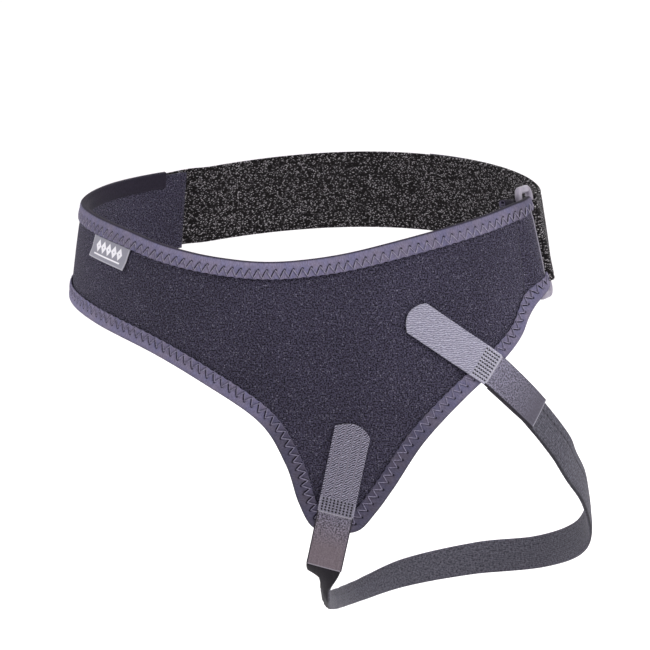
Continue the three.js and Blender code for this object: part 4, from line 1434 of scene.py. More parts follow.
    def fold_point(self, turn: Array, back: Array, height: Array, out: Array) -> Array:
        """Point of the panel's end where it turns round the ring's bar and lies back inside.

        Args:
            turn: Angle round the bar, in radians.
            back: Length past the turn.
            height: Height on the belt.
            out: Distance out from the panel's inner skin.

        Returns:
            The points.
        """
        turn, back, height, out = np.broadcast_arrays(turn, back, height, out)
        radius = self.bend_radius + out
        round_bar = self.ring_point(
            radius * np.sin(turn) - self.half_pitch,
            height - self.ring_height,
            self.ring_lift + radius * np.cos(turn),
        )
        gap = 2 * (self.binding_thickness + CLEARANCE) + CLEARANCE
        along = self.panel_end[0] - back
        closed = ease(back, 0, self.fold_length)
        resting = self.panel_lift(along) - gap - out
        lift = (self.ring_lift - radius) * (1 - closed) + resting * closed
        inside = self.belt_point(along, height, lift)
        return np.where((back > 0)[..., None], inside, round_bar)

    def panel_way(
        self,
        side: Side,
        shares: Array,
        turns: Array,
        backs: Array,
        distance: Array,
        out: Array,
    ) -> Array:
        """Points inside one edge of the panel, over its stations and on through its fold.

        Args:
            side: The edge that distances are measured from.
            shares: Shares of the edge at the stations before the fold.
            turns: Angle round the bar at each station of the fold.
            backs: Length past the turn at each station of the fold.
            distance: Distances from the edge, as rows of stations.
            out: Distances out from the panel's inner skin, as rows of stations.

        Returns:
            The points, with one row for each station.
        """
        n = len(shares)
        stations = np.concatenate([shares, np.ones(len(turns))])
        rows = stations[:, None]
        rows, distance, out = np.broadcast_arrays(rows, distance, out)
        place = self.inset(side, rows, distance)
        on_panel = self.panel_point(place[:n, :, 0], place[:n, :, 1], out[:n])
        in_fold = self.fold_point(turns[:, None], backs[:, None], place[n:, :, 1], out[n:])
        return np.concatenate([on_panel, in_fold])

    # -- the back strap

    @cached_property
    def seam_end(self) -> float:
        """The back strap's sewn end along the belt."""
        start = self.edge_points[Side.LOWER][0, 0]
        return float(start + 2 * self.form.half_girth + self.strap_seam)

    def strap_height(self, along: Array) -> Array:
        """Height of the strap's middle."""
        share = (along - self.rear_bar) / (self.seam_end - self.rear_bar)
        return self.ring_height + self.strap_rise * np.sin(math.pi * share)

    def strap_lift(self, along: Array) -> Array:
        """Lift of the inner skin of the strap's layer on the body."""
        ring = 1 - ease(along, self.rear_bar, self.rear_bar + self.ring_ramp)
        seam_start = self.seam_end - self.strap_seam - CLEARANCE
        seam = ease(along, seam_start - self.seam_ramp, seam_start)
        at_ring = self.ring_lift - self.strap_bend - self.strap_thickness
        at_seam = self.panel_thickness + CLEARANCE
        return ring * at_ring + seam * at_seam - (1 - ring - seam) * self.strap_sink

    def return_lift(self, along: Array) -> Array:
        """Lift of the inner skin of the layer that is folded back outside."""
        ring = 1 - ease(along, self.rear_bar, self.rear_bar + self.ring_ramp)
        resting = self.strap_lift(along) + self.strap_thickness + CLEARANCE
        return resting * (1 - ring) + (self.ring_lift + self.strap_bend) * ring

    # -- tabs

    @property
    def tab_low(self) -> float:
        """Lift of a tab's underside on the panel."""
        return self.panel_thickness + CLEARANCE

    @property
    def tab_high(self) -> float:
        """Lift of a tab's underside on the binding."""
        return self.tab_low + self.binding_thickness + CLEARANCE

    def tab_place(
        self, join: Join, tab_length: float, distance: Array, across: Array
    ) -> tuple[Array, Array]:
        """Place on the form of a point of a tab or its cover.

        Args:
            join: Where the tab meets its cover.
            tab_length: The tab's length.
            distance: Distance from the tab's rounded end.
            across: Distance from its middle line.

        Returns:
            The length round the body, and the height.
        """
        share_along, share_drop, tab_slope, cover_slope = join.value
        past = np.asarray(distance, float) - tab_length
        ways = [
            np.array([math.cos(math.radians(s)), math.sin(math.radians(s))])
            for s in (tab_slope, cover_slope)
        ]
        turned = ease(past, -self.tab_band, self.tab_band)
        side = unit(blend(np.broadcast_to(ways[0], past.shape + (2,)), ways[1], turned))
        step = ways[0] * np.minimum(past, 0)[..., None] + ways[1] * np.maximum(past, 0)[..., None]
        step = step + np.stack([-side[..., 1], side[..., 0]], -1) * np.asarray(across)[..., None]
        height = share_drop * self.tip_drop + step[..., 1]
        along = share_along * self.form.half_girth + step[..., 0] / self.form.stretch(height)
        return along, height

    def tab_point(
        self,
        join: Join,
        tab_length: float,
        distance: Array,
        across: Array,
        lift: Array,
    ) -> Array:
        """Point of a tab or its cover, lifted off the body."""
        distance, across, lift = np.broadcast_arrays(distance, across, lift)
        along, height = self.tab_place(join, tab_length, distance, across)
        return self.form.lifted(along, height, lift)


# -------------------------------------------------------------------------------------------------
# Pieces


@dataclass
class Piece:
    """What every sub-assembly has: the layout that it is fitted to."""

    layout: Layout

    def settle(self, obj: Object, slot: str, *nodes: str) -> Object:
        """Fixes a piece to the belt's body.

        Args:
            obj: The finished piece.
            slot: Not used.
            *nodes: The CAD nodes that it stands for.

        Returns:
            The piece.
        """
        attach(obj, BODY)
        if nodes:
            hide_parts(*nodes)
        LOG.info("%s: %d faces", obj.name, len(obj.data.polygons))
        return obj


@dataclass
class NeoprenePanel(Piece):
    """The shaped panel, with its end folded round the ring's front bar."""

    columns: int = 60
    steps_per_row: int = 15
    seam_from_end: float = 20.0
    seam_dip: float = 0.35
    seam_width: float = 1.3
    edge_dip: float = 0.35
    edge_dip_at: float = 9.2  # from the panel's own edge
    edge_dip_width: float = 2.2
    fold_highlight_strength: float = 0.75  # strength of the painted highlight on the cloth's face at the ring's bar
    fold_highlight_width: float = 0.8
    sway: float = 0.3  # millimetres of slackness in the cloth

    def build(self) -> None:
        """Builds the panel and the row that closes its fold."""
        lay = self.layout
        steps = (len(lay.outline) - 1) * self.steps_per_row
        shares = np.linspace(0, 1, steps + 1)
        turns = np.concatenate([np.linspace(0, math.pi, 15)[1:], np.full(10, math.pi)])
        backs = np.concatenate([np.zeros(14), np.linspace(0, lay.fold_length, 11)[1:]])
        reach = lay.panel_thickness / 2 + CLEARANCE + lay.binding_thickness
        stations = np.concatenate([shares, np.ones(len(turns))])
        low = lay.inset(Side.LOWER, stations, reach)
        high = lay.inset(Side.UPPER, stations, reach)
        across = np.linspace(0, 1, self.columns + 1)
        place = low[:, None] * (1 - across[:, None]) + high[:, None] * across[:, None]
        n = len(shares)
        relief = self.relief(place, low, high, stations)

        def skin(out: Array) -> Array:
            """The panel's skin at a distance out."""
            on_panel = lay.panel_point(place[:n, :, 0], place[:n, :, 1], out[:n])
            in_fold = lay.fold_point(turns[:, None], backs[:, None], place[n:, :, 1], out[n:])
            return np.concatenate([on_panel, in_fold])

        outer = skin(lay.panel_thickness - relief)
        inner = skin(np.zeros_like(relief))
        past = np.concatenate([np.zeros(n), lay.bend_radius * turns + backs])
        flat = np.stack([place[..., 0] + past[:, None], place[..., 1]], -1)
        beyond = np.where(past[:, None] > 0, past[:, None], place[..., 0] - lay.panel_end[0])
        # painted highlight along the fold round the ring's bar
        marks = {"fold_highlight": self.fold_highlight_strength * bump_at(beyond, 0.1, self.fold_highlight_width)}
        panel = cloth_shell("panel_cloth", outer, inner, flat, NEOPRENE.material(), marks)
        seam = self.fold_seam()
        self.settle(panel, "neoprene", "front_panel")
        self.settle(seam, "neoprene")
        length = lay.panel_end[0] - lay.edge_points[Side.LOWER][0, 0] + lay.fold_length

    def relief(self, place: Array, low: Array, high: Array, stations: Array) -> Array:
        """Depth by which the outer skin sinks: beside the bindings, in the seam and in its sway.

        Args:
            place: Along and height of each point.
            low: Places of the lower edge of the panel.
            high: Places of its upper edge.
            stations: Share of the edges at each row.

        Returns:
            The depth at each point.
        """
        lay = self.layout
        depth = np.zeros(place.shape[:2])
        for side, edge in ((Side.LOWER, low), (Side.UPPER, high)):
            into = unit(lay.inward(side, stations))
            inside = ((place - edge[:, None]) * into[:, None]).sum(-1)
            depth += self.edge_dip * bump_at(inside, self.edge_dip_at, self.edge_dip_width)
        gap = np.abs(place[..., 0] - (lay.panel_end[0] - self.seam_from_end))
        on_panel = (stations < 1)[:, None]
        depth += self.seam_dip * np.exp(-((gap / self.seam_width) ** 2)) * on_panel
        a, h = place[..., 0], place[..., 1]
        waves = np.sin(a / 31 + h / 19) + np.sin(a / 17 - h / 27 + 1.3) + np.sin(h / 13 + a / 90)
        return depth + self.sway * (1 + waves / 3) / 2

    def fold_seam(self) -> Object:
        """The row of stitches that closes the fold round the ring's bar."""
        lay = self.layout
        along = lay.panel_end[0] - self.seam_from_end
        shares = [lay.share_at(side, along) for side in (Side.LOWER, Side.UPPER)]
        low = lay.inset(Side.LOWER, np.array(shares[0]), lay.binding_width + 0.5)[1]
        high = lay.inset(Side.UPPER, np.array(shares[1]), lay.binding_width + 0.5)[1]
        height = np.linspace(low, high, 60)
        out = lay.panel_thickness - self.seam_dip - 0.15
        points = lay.panel_point(along, height, out)
        outward = lay.form.normal(np.full(60, along), height)
        across = np.gradient(points, axis=0)
        return sew(
            "panel_fold_seam",
            [(points, outward, across)],
            Seam.RUNNING,
            DARK_THREAD,
            {"Pitch": 3.0, "Stitch length": 2.4, "Thread radius": 0.3, "Loft": 0.25},
        )


@dataclass
class EdgeBinding(Piece):
    """A tape folded over one edge of the panel and sewn through with a zigzag."""

    side: Side = Side.LOWER
    name: str = "lower_binding"
    step: float = 0.64  # along the tape
    zigzag: Zigzag = ZIGZAG
    thread_radius: float = 0.33
    scallop: float = 0.22
    squareness: float = 0.72  # of the roll over the panel's edge, where 1 is round
    narrowing: float = 0.24  # share by which the tape narrows before the ring
    seam_depth: float = 0.12  # to which the whole seam sinks, then its slots and needle holes
    slot_depth: float = 0.35
    hole_depth: float = 0.4
    hole_radius: float = 0.7

    @property
    def reach(self) -> float:
        """Distance from the middle of the panel's thickness to the tape's outer skin."""
        return self.layout.panel_thickness / 2 + CLEARANCE + self.layout.binding_thickness

    @property
    def seam_middle(self) -> float:
        """Distance of the seam's middle from the tape's margin."""
        return (self.zigzag.near + self.zigzag.far) / 2

    def stations(self) -> tuple[Array, Array, Array]:
        """Evenly spaced shares of the edge, then the turns and lengths back in the fold."""
        lay = self.layout
        fine = np.linspace(lay.tape_start, 1, 6000)
        place = lay.inset(self.side, fine, lay.binding_width - self.seam_middle)
        lengths = lengths_along(lay.form.lifted(place[:, 0], place[:, 1], 4.0))
        count = int(lengths[-1] / self.step)
        shares = np.interp(np.linspace(0, lengths[-1], count + 1), lengths, fine)
        turns = np.concatenate([np.linspace(0, math.pi, 19)[1:], np.full(16, math.pi)])
        backs = np.concatenate([np.zeros(18), np.linspace(0, lay.fold_length, 17)[1:]])
        return shares, turns, backs

    def section(self, across: Array, radius: Array) -> tuple[Array, Array]:
        """The folded tape's section.

        Args:
            across: Distance over the tape from its outer margin.
            radius: Distance from the middle of the panel's thickness to the skin.

        Returns:
            The distance from the finished edge, and the distance out from the panel's inner skin.
        """
        reach = self.reach
        straight = self.layout.binding_width - reach
        bend = math.pi * (reach - self.layout.binding_thickness / 2)
        angle = math.pi / 2 - np.clip((across - straight) / bend, 0, 1) * math.pi
        past = np.maximum(across - straight - bend, 0)
        before = np.maximum(straight - across, 0)
        cos, sin = np.cos(angle), np.sin(angle)
        around = np.abs(cos) ** self.squareness
        over = np.sign(sin) * np.abs(sin) ** self.squareness
        distance = reach + before + past - radius * around
        return distance, self.layout.panel_thickness / 2 + radius * over

    def skin(self, ways: tuple[Array, ...], across: Array, radius: Array, notch: Array) -> Array:
        """Points over the tape.

        Args:
            ways: Shares, turns and lengths back of its stations.
            across: Distance over the tape from its outer margin.
            radius: Distance from the middle of the panel's thickness to the skin.
            notch: Distance by which the margin is drawn in.

        Returns:
            The points, with one row for each station.
        """
        lay = self.layout
        shares, turns, backs = ways
        distance, out = self.section(across + 0 * radius, radius)
        along = lay.edge(self.side, shares)[:, 0]
        narrow = self.narrowing * ease(along, lay.panel_end[0] - 16, lay.panel_end[0] - 2)
        squeeze = 1 - np.concatenate([narrow, np.full(len(turns), self.narrowing)])[:, None]
        over = np.maximum(distance - self.reach, 0)
        distance = np.minimum(distance, self.reach) + over * squeeze + notch
        return lay.panel_way(self.side, shares, turns, backs, distance, out + 0 * distance)

    def slot_share(self, along: Array) -> Array:
        """How far the seam draws slots into the tape, and how dark their painted shadow is: most at
        its right end and at the ring.
        """
        end = self.layout.panel_end[0]
        smoothed = 0.72 * ease(along, 15, 95)
        by_ring = 0.9 * ease(along, end - 55, end - 25)
        return np.clip(1 - smoothed + by_ring, 0, 1.2)

    def shading_along(self, along: Array) -> Array:
        """Painted shade along the tape: round the leg and by the ring, less past the point, and
        painted light over the belly on the upper tape.
        """
        end = self.layout.panel_end[0]
        if self.side is Side.UPPER:
            lit_belly = 0.34 * bump_at(along, -20, 95)
            return 0.2 - lit_belly + 0.25 * ease(along, end - 35, end - 10)
        less_shade_past_point = 0.34 * ease(along, 85, 135)
        return 0.54 * ease(along, -18, 2) - less_shade_past_point

    def build(self) -> None:
        """Builds the tape and its seam."""
        lay, reach, thick = self.layout, self.reach, self.layout.binding_thickness
        shares, turns, _ = ways = self.stations()
        straight = lay.binding_width - reach
        bend = math.pi * (reach - thick / 2)
        width = 2 * straight + bend
        across = np.concatenate(
            [
                [0.0, 0.12, 0.35],
                np.linspace(0.7, straight, 17)[:-1],
                np.linspace(straight, straight + bend, 9)[:-1],
                np.linspace(straight + bend, width - 0.35, 5),
                [width],
            ]
        )
        middle = self.skin(ways, np.array([[self.seam_middle]]), np.array([[reach]]), 0.0)[:, 0]
        lengths = lengths_along(middle)
        sewn = len(shares) + 8  # the seam ends where the fold hides it
        stitches = round(lengths[sewn - 1] / self.zigzag.pitch)
        phase = (lengths / lengths[sewn - 1] * stitches)[:, None]
        at_ring = np.full(len(turns), lay.panel_end[0])
        along = np.concatenate([lay.edge(self.side, shares)[:, 0], at_ring])
        slots = self.slot_share(along)[:, None]
        drawn = self.pull(phase, across[None], slots)
        bead = rounded(across - width / 2, width / 2, 0.5, 0.35)
        puff = 0.1 * bump_at(across, straight - 0.5, 1.6)
        notch = self.scallop * np.cos(2 * math.pi * phase) * np.clip(1 - across / 2.5, 0, 1)
        outer = self.skin(ways, across, reach - (1 - bead) * thick / 2 + puff - drawn, notch)
        inner = self.skin(ways, across, reach - thick + (1 - bead) * thick / 2 + 0 * drawn, notch)
        marks = {
            "stitch": phase + 0 * across,
            # strength of the painted shadow in the seam's slots
            "slots": slots + 0 * across,
            # painted shade and painted light along the tape
            "painted_shading": self.shading_along(along)[:, None] + 0 * across,
            # painted shade on the tape's turned outer edge
            "turned": ease(across, straight + bend * 0.1, straight + bend * 0.27),
        }
        flat = flat_places(lengths[:, None], across[None])
        tape = cloth_shell(self.name + "_tape", outer, inner, flat, BINDING.material(), marks)
        seam = self.seam(ways, sewn, stitches)
        self.settle(tape, "binding_tape", self.name)
        self.settle(seam, "binding_tape")

    def pull(self, phase: Array, across: Array, slots: Array) -> Array:
        """Depth to which the zigzag draws the tape in.

        Args:
            phase: Stitches from the seam's start.
            across: Distance over the tape from its outer margin.
            slots: How far the seam draws slots into the tape there.

        Returns:
            The depth at each point.
        """
        zigzag = self.zigzag
        rise = (across - zigzag.near) / (zigzag.far - zigzag.near)
        inside = ease(rise, -0.08, 0.08) * (1 - ease(rise, 0.9, 1.15))
        depth = self.seam_depth * inside
        for lean, strength in zigzag.legs:
            beside = (phase + lean * rise + zigzag.aside + 0.5) % 1.0 - 0.5
            depth = depth + self.slot_depth * strength * slots * inside * bump_at(beside, 0, 0.1)
        off_hole = ((phase % 1.0) - 0.5) * zigzag.pitch
        radius = self.hole_radius
        hole = bump_at(off_hole, 0, radius) * bump_at(across, zigzag.far, radius)
        return depth + self.hole_depth * hole

    def seam(self, ways: tuple[Array, ...], sewn: int, stitches: int) -> Object:
        """Sews the zigzag.

        Args:
            ways: Shares, turns and lengths back of the tape's stations.
            sewn: Number of stations that the seam covers.
            stitches: Number of zigzags.

        Returns:
            The seam's object.
        """

        def line(across: float, radius: float) -> Array:
            """Line of points over the tape at a distance across it."""
            return self.skin(ways, np.array([[across]]), np.array([[radius]]), 0.0)[:sewn, 0]

        points = line(self.seam_middle, self.reach - 0.16)
        outward = line(self.seam_middle, self.reach + 0.5) - points
        across = line(self.seam_middle + 0.5, self.reach) - line(self.seam_middle - 0.5, self.reach)
        return sew(
            self.name + "_zigzag",
            [(points, outward, across)],
            Seam.ZIGZAG,
            SLATE_THREAD if self.side is Side.UPPER else DUSKY_THREAD,
            {
                "Stitches": stitches,
                "Seam width": self.zigzag.far - self.zigzag.near,
                "Thread radius": self.thread_radius,
                "Loft": 0.25,
            },
        )


@dataclass
class HipLabel(Piece):
    """The small woven label that hangs from the upper binding at the wearer's right."""

    along: float = -0.2855
    width: float = 42.0
    height: float = 15.0
    thickness: float = 0.8
    lean: float = 0.12  # millimetres to the wearer's right for each millimetre down
    lift: float = 1.0  # of its lower edge

    def build(self) -> None:
        """Builds the label."""
        lay = self.layout
        middle = self.along * lay.form.half_girth
        aside = crowded(40, self.width / 2, 0.5)
        down = crowded(18, self.height / 2, 0.4) + self.height / 2
        shares = np.array([lay.share_at(Side.UPPER, middle + x) for x in aside])
        drop = lay.binding_width + CLEARANCE + down
        place = lay.inset(Side.UPPER, *np.broadcast_arrays(shares[:, None], drop[None]))
        place[..., 0] -= self.lean * down
        thin = rounded(aside, self.width / 2, 0.5, 0.5)[:, None] * rounded(
            down - self.height / 2, self.height / 2, 0.4, 0.5
        )
        half = self.thickness / 2 * thin
        lifted = self.lift * ease(down, self.height * 0.55, self.height)
        base = lay.panel_thickness + CLEARANCE + self.thickness / 2 + lifted
        outer = lay.panel_point(place[..., 0], place[..., 1], base + half)
        inner = lay.panel_point(place[..., 0], place[..., 1], base - half)
        flat = flat_places((aside + self.width / 2)[:, None], down[None])
        label = cloth_shell("hip_label", outer, inner, flat, LABEL.material())
        self.settle(label, "woven_label", "label")


@dataclass
class SideRing(Piece):
    """The rectangular ring between the panel's fold and the back strap."""

    bar_thickness: float = 4.5
    corner: float = 5.0
    squareness: float = 0.72  # of the bar's section, where 1 is round
    corner_steps: int = 14
    sides: int = 24

    def build(self) -> None:
        """Builds the ring from a rounded bar."""
        lay = self.layout
        half_rise = lay.half_slot + lay.bar_width / 2
        turn = np.linspace(0, 2 * math.pi, self.sides, endpoint=False)
        cos, sin = np.cos(turn), np.sin(turn)
        across = np.sign(cos) * np.abs(cos) ** self.squareness * lay.bar_width / 2
        out = np.sign(sin) * np.abs(sin) ** self.squareness * self.bar_thickness / 2
        middles = np.array([lay.half_pitch - self.corner, half_rise - self.corner])
        way = []
        for quarter, quadrant in enumerate(((1, 1), (-1, 1), (-1, -1), (1, -1))):
            for share in np.linspace(0, 1, self.corner_steps + 1):
                way.append((*(middles * quadrant), math.pi / 2 * (quarter + share)))
        rows = np.array(way)
        cos, sin = np.cos(rows[:, 2])[:, None], np.sin(rows[:, 2])[:, None]
        rear = rows[:, 0, None] + (self.corner + across) * cos
        rise = rows[:, 1, None] + (self.corner + across) * sin
        rings = lay.ring_point(rear, rise, lay.ring_lift + out[None])
        faces = tube_faces(*rings.shape[:2]).reshape(-1, 4)
        ring = build_mesh("ring_moulding", rings.reshape(-1, 3), faces, RING.material())
        self.settle(ring, "ring_plastic", "side_ring")


@dataclass
class BackStrap(Piece):
    """The plush elastic strap across the back, through the ring and back over itself."""

    columns: int = 36
    step: float = 2.0
    edge: float = 1.0

    def way(self) -> tuple[Array, Array, Array]:
        """Stations: along the belt on the body, turns round the bar, and along the return."""
        lay = self.layout
        body = lay.seam_end - lay.rear_bar
        first = np.linspace(lay.seam_end, lay.rear_bar, int(body / self.step) + 1)
        ends = lay.seam_end - np.array([0.0, 0.12, 0.45, 0.9])
        first = np.concatenate([ends, first[1:]])
        turns = np.linspace(0, math.pi, 17)[1:-1]
        back = lay.rear_bar + np.linspace(
            0, lay.strap_return, int(lay.strap_return / self.step) + 1
        )
        return first, turns, back

    def build(self) -> None:
        """Builds the strap and the two rows of stitches at its sewn end."""
        lay = self.layout
        half, thick = lay.strap_width / 2, lay.strap_thickness
        across = crowded(self.columns, half, self.edge)
        section = rounded(across, half, self.edge)
        selvedge = 1 - 0.3 * bump_at(np.abs(across), half - 2.6, 0.8)
        first, turns, back = self.way()
        centre, reach = (lay.seam_end + lay.rear_bar) / 2, (lay.seam_end - lay.rear_bar) / 2
        body_ends = rounded(first - centre, reach, 0.9)
        body_ends[first < lay.seam_end - 2] = 1.0

        def skin(side: int) -> Array:
            """One skin of the strap: 1 for the side that faces out on the body, or -1."""
            rows = side * thick / 2 * section * selvedge
            lift = lay.strap_lift(first) + thick / 2
            on_body = lay.belt_point(
                first[:, None],
                lay.strap_height(first)[:, None] + across,
                lift[:, None] + rows * body_ends[:, None],
            )
            radius = lay.strap_bend + thick / 2 - rows
            at_bend = lay.ring_point(
                lay.half_pitch - radius * np.sin(turns)[:, None],
                across[None],
                lay.ring_lift - radius * np.cos(turns)[:, None],
            )
            lift = lay.return_lift(back) + thick / 2
            returned = lay.belt_point(
                back[:, None], lay.strap_height(back)[:, None] + across, lift[:, None] - rows
            )
            return np.concatenate([on_body, at_bend, returned])

        outer, inner = skin(1), skin(-1)
        middle = (outer + inner)[:, len(across) // 2] / 2
        lengths = lengths_along(middle)
        flat = flat_places(lengths[:, None], across[None])
        strap = cloth_shell("plush_strap", outer, inner, flat, PLUSH.material())
        seam = self.sewn_end()
        self.settle(strap, "plush_elastic", "back_strap")
        self.settle(seam, "plush_elastic")

    def sewn_end(self) -> Object:
        """The two rows of stitches that fix the strap to the panel's end."""
        lay = self.layout
        lines = []
        for inset in (3.0, lay.strap_seam - 4.0):
            along = np.full(80, lay.seam_end - inset)
            across = np.linspace(-lay.strap_width / 2 + 2.5, lay.strap_width / 2 - 2.5, 80)
            height = lay.strap_height(along) + across
            lift = lay.strap_lift(along) + lay.strap_thickness - 0.1
            points = lay.belt_point(along, height, lift)
            outward = lay.form.normal(along, height)
            lines.append((points, outward, np.gradient(points, axis=0)))
        return sew(
            "strap_end_seam",
            lines,
            Seam.RUNNING,
            DARK_THREAD,
            {"Pitch": 3.4, "Stitch length": 2.7, "Thread radius": 0.4, "Loft": 0.4},
        )


@dataclass
class ClosureTab(Piece):
    """The hook tab at the back strap's free end."""

    length: float = 38.0
    rounding: float = 6.0
    edge: float = 0.8

    def build(self) -> None:
        """Builds the tab and the seam that joins it to the strap."""
        lay = self.layout
        half, thick = lay.strap_width / 2, lay.strap_thickness
        start = lay.rear_bar + lay.strap_return + CLEARANCE
        across = crowded(34, half, self.edge)
        side = across / lay.strap_width + 0.5
        share = np.concatenate([np.linspace(0, 1, 30)[:-1], [0.985, 0.995, 1.0]])[:, None]
        bulge = self.rounding * (1 - (2 * side - 1) ** 2) * share
        along = start + share * (self.length - self.rounding) + bulge
        height = lay.strap_height(along) + across
        thin = rounded(across, half, self.edge) * np.where(share > 0.98, 1 - (share - 0.98) * 30, 1)
        middle = lay.strap_lift(along) + thick + CLEARANCE + thick / 2
        outer = lay.belt_point(along, height, middle + thick / 2 * thin)
        inner = lay.belt_point(along, height, middle - thick / 2 * thin)
        flat = flat_places(along - start, across + 0 * along)
        tab = cloth_shell("closure_tape", outer, inner, flat, CLOSURE_TAPE.material())
        lines = []
        for inset in (2.0, 5.0):
            row = np.full(70, start + inset)
            place = lay.strap_height(row) + np.linspace(-half + 2, half - 2, 70)
            lift = lay.strap_lift(row) + 2 * thick + CLEARANCE - 0.05
            points = lay.belt_point(row, place, lift)
            lines.append((points, lay.form.normal(row, place), np.gradient(points, axis=0)))
        seam = sew(
            "closure_seam",
            lines,
            Seam.RUNNING,
            DARK_THREAD,
            {"Pitch": 3.0, "Stitch length": 2.3, "Thread radius": 0.35, "Loft": 0.3},
        )
        self.settle(tab, "hook_tape", "closure_tab")
        self.settle(seam, "hook_tape")


@dataclass
class HookTab(Piece):
    """A hook tab of the thigh strap, with its stitched band and the tape that covers its join."""

    join: Join = Join.HIP
    name: str = "hip_tab"
    length: float = 68.0
    cover_length: float = 50.0
    width: float = 24.0
    thickness: float = 1.6
    cover_thickness: float = 1.1
    corners: tuple[float, float] = (6.0, 6.0)  # how far each corner lies behind the rounded end
    ramp: float = 14.0
    edge: float = 0.5
    cover_edge: float = 0.4
    hole_depth: float = 0.3
    hole_radius: float = 0.6
    band: Band = HIP_BAND
    tape: WovenTape = HIP_TAPE
    cover_tape: CoverTape = HIP_COVER
    thread: SewingThread = PALE_THREAD

    def under_lift(self, distance: Array) -> Array:
        """Lift of the tab's underside at a distance from its rounded end."""
        lay = self.layout
        climb = self.length - lay.tab_band - self.ramp
        on_tape = ease(distance, climb, climb + self.ramp)
        return lay.tab_low * (1 - on_tape) + lay.tab_high * on_tape

    def build(self) -> None:
        """Builds the tab, its stitches and its cover."""
        lay = self.layout
        half = self.width / 2
        across = crowded(44, half, self.edge)
        side = 2 * across / self.width
        share = np.concatenate([[0, 0.002, 0.006, 0.011], np.linspace(0.02, 1, 130)])[:, None]
        behind = np.where(side < 0, *self.corners)
        distance = share * self.length + behind * side**2 * (1 - share) ** 2
        tip = np.sqrt(np.clip(1 - (1 - np.clip(share * self.length / self.edge, 0, 1)) ** 2, 0, 1))
        thin = rounded(across, half, self.edge, 0.7) * np.maximum(tip, 0.7)
        dip = self.hole_depth * self.holes(distance, across + 0 * distance)
        middle = self.under_lift(distance) + self.thickness / 2
        outer = lay.tab_point(
            self.join, self.length, distance, across, middle + self.thickness / 2 * thin - dip
        )
        inner = lay.tab_point(
            self.join, self.length, distance, across, middle - self.thickness / 2 * thin
        )
        flat = flat_places(distance, across + 0 * distance)
        tab = cloth_shell(self.name + "_tape", outer, inner, flat, self.tape.material())
        band = self.stitches()
        self.settle(tab, "hook_tape", self.name)
        self.settle(band, "hook_tape")
        self.cover()

    def row_places(self) -> Array:
        """Distances of the stitched rows from the tab's rounded end."""
        return np.linspace(self.band.first, self.band.last, self.band.rows)

    def holes(self, distance: Array, across: Array) -> Array:
        """Needle holes between the stitches of the band, from 0 to 1."""
        place = np.abs(distance[..., None] - self.row_places()).min(-1)
        pitch = self.band.hole_pitch
        gap = (across / pitch - np.round(across / pitch)) * pitch
        within = np.abs(across) < self.band.reach
        return bump_at(place, 0, self.hole_radius) * bump_at(gap, 0, self.hole_radius) * within

    def stitches(self) -> Object:
        """The rows of short stitches across the tab's end."""
        lines = []
        for place in self.row_places():
            across = np.linspace(-self.band.reach, self.band.reach, 40)
            distance = np.full(40, place)
            lift = self.under_lift(distance) + self.thickness - 0.15
            points = self.layout.tab_point(self.join, self.length, distance, across, lift)
            above = self.layout.tab_point(self.join, self.length, distance, across, lift + 1)
            lines.append((points, above - points, np.gradient(points, axis=0)))
        shortest = min(lengths_along(line[0])[-1] for line in lines)
        return sew(
            self.name + "_band",
            lines,
            Seam.RUNNING,
            self.thread,
            {
                "Pitch": shortest / self.band.gaps * 0.999,
                "Stitch length": 1.25,
                "Thread radius": 0.4,
                "Loft": 0.3,
            },
        )

    def cover(self) -> None:
        """Builds the tape over the thigh strap's end."""
        lay = self.layout
        half = self.width / 2
        across = crowded(36, half, self.cover_edge)
        ends = np.array([0, 0.1, 0.3, 0.6])
        middle_part = np.linspace(1.0, self.cover_length - 1.0, 84)
        past = np.concatenate([ends, middle_part, self.cover_length - ends[::-1]])[:, None]
        distance = self.length + CLEARANCE + past
        past_middle, half_length = past - self.cover_length / 2, self.cover_length / 2
        thin = rounded(across, half, self.cover_edge, 0.7)
        thin = thin * rounded(past_middle, half_length, self.cover_edge, 0.7)
        middle = lay.tab_high + self.cover_thickness / 2 - 0.12 * bump_at(past, 2.2, 1.0)
        half_thick = self.cover_thickness / 2 * thin
        outer = lay.tab_point(self.join, self.length, distance, across, middle + half_thick)
        inner = lay.tab_point(self.join, self.length, distance, across, middle - half_thick)
        # painted highlight along both ends of the cover
        edge_highlight = bump_at(past, 0.3, 0.6) + 0.6 * bump_at(past, self.cover_length - 0.3, 0.5)
        cover = cloth_shell(
            self.name + "_cover_tape",
            outer,
            inner,
            flat_places(past, across + 0 * past),
            self.cover_tape.material(),
            {"edge_highlight": edge_highlight},
        )
        self.settle(cover, "cover_tape", self.name + "_cover")


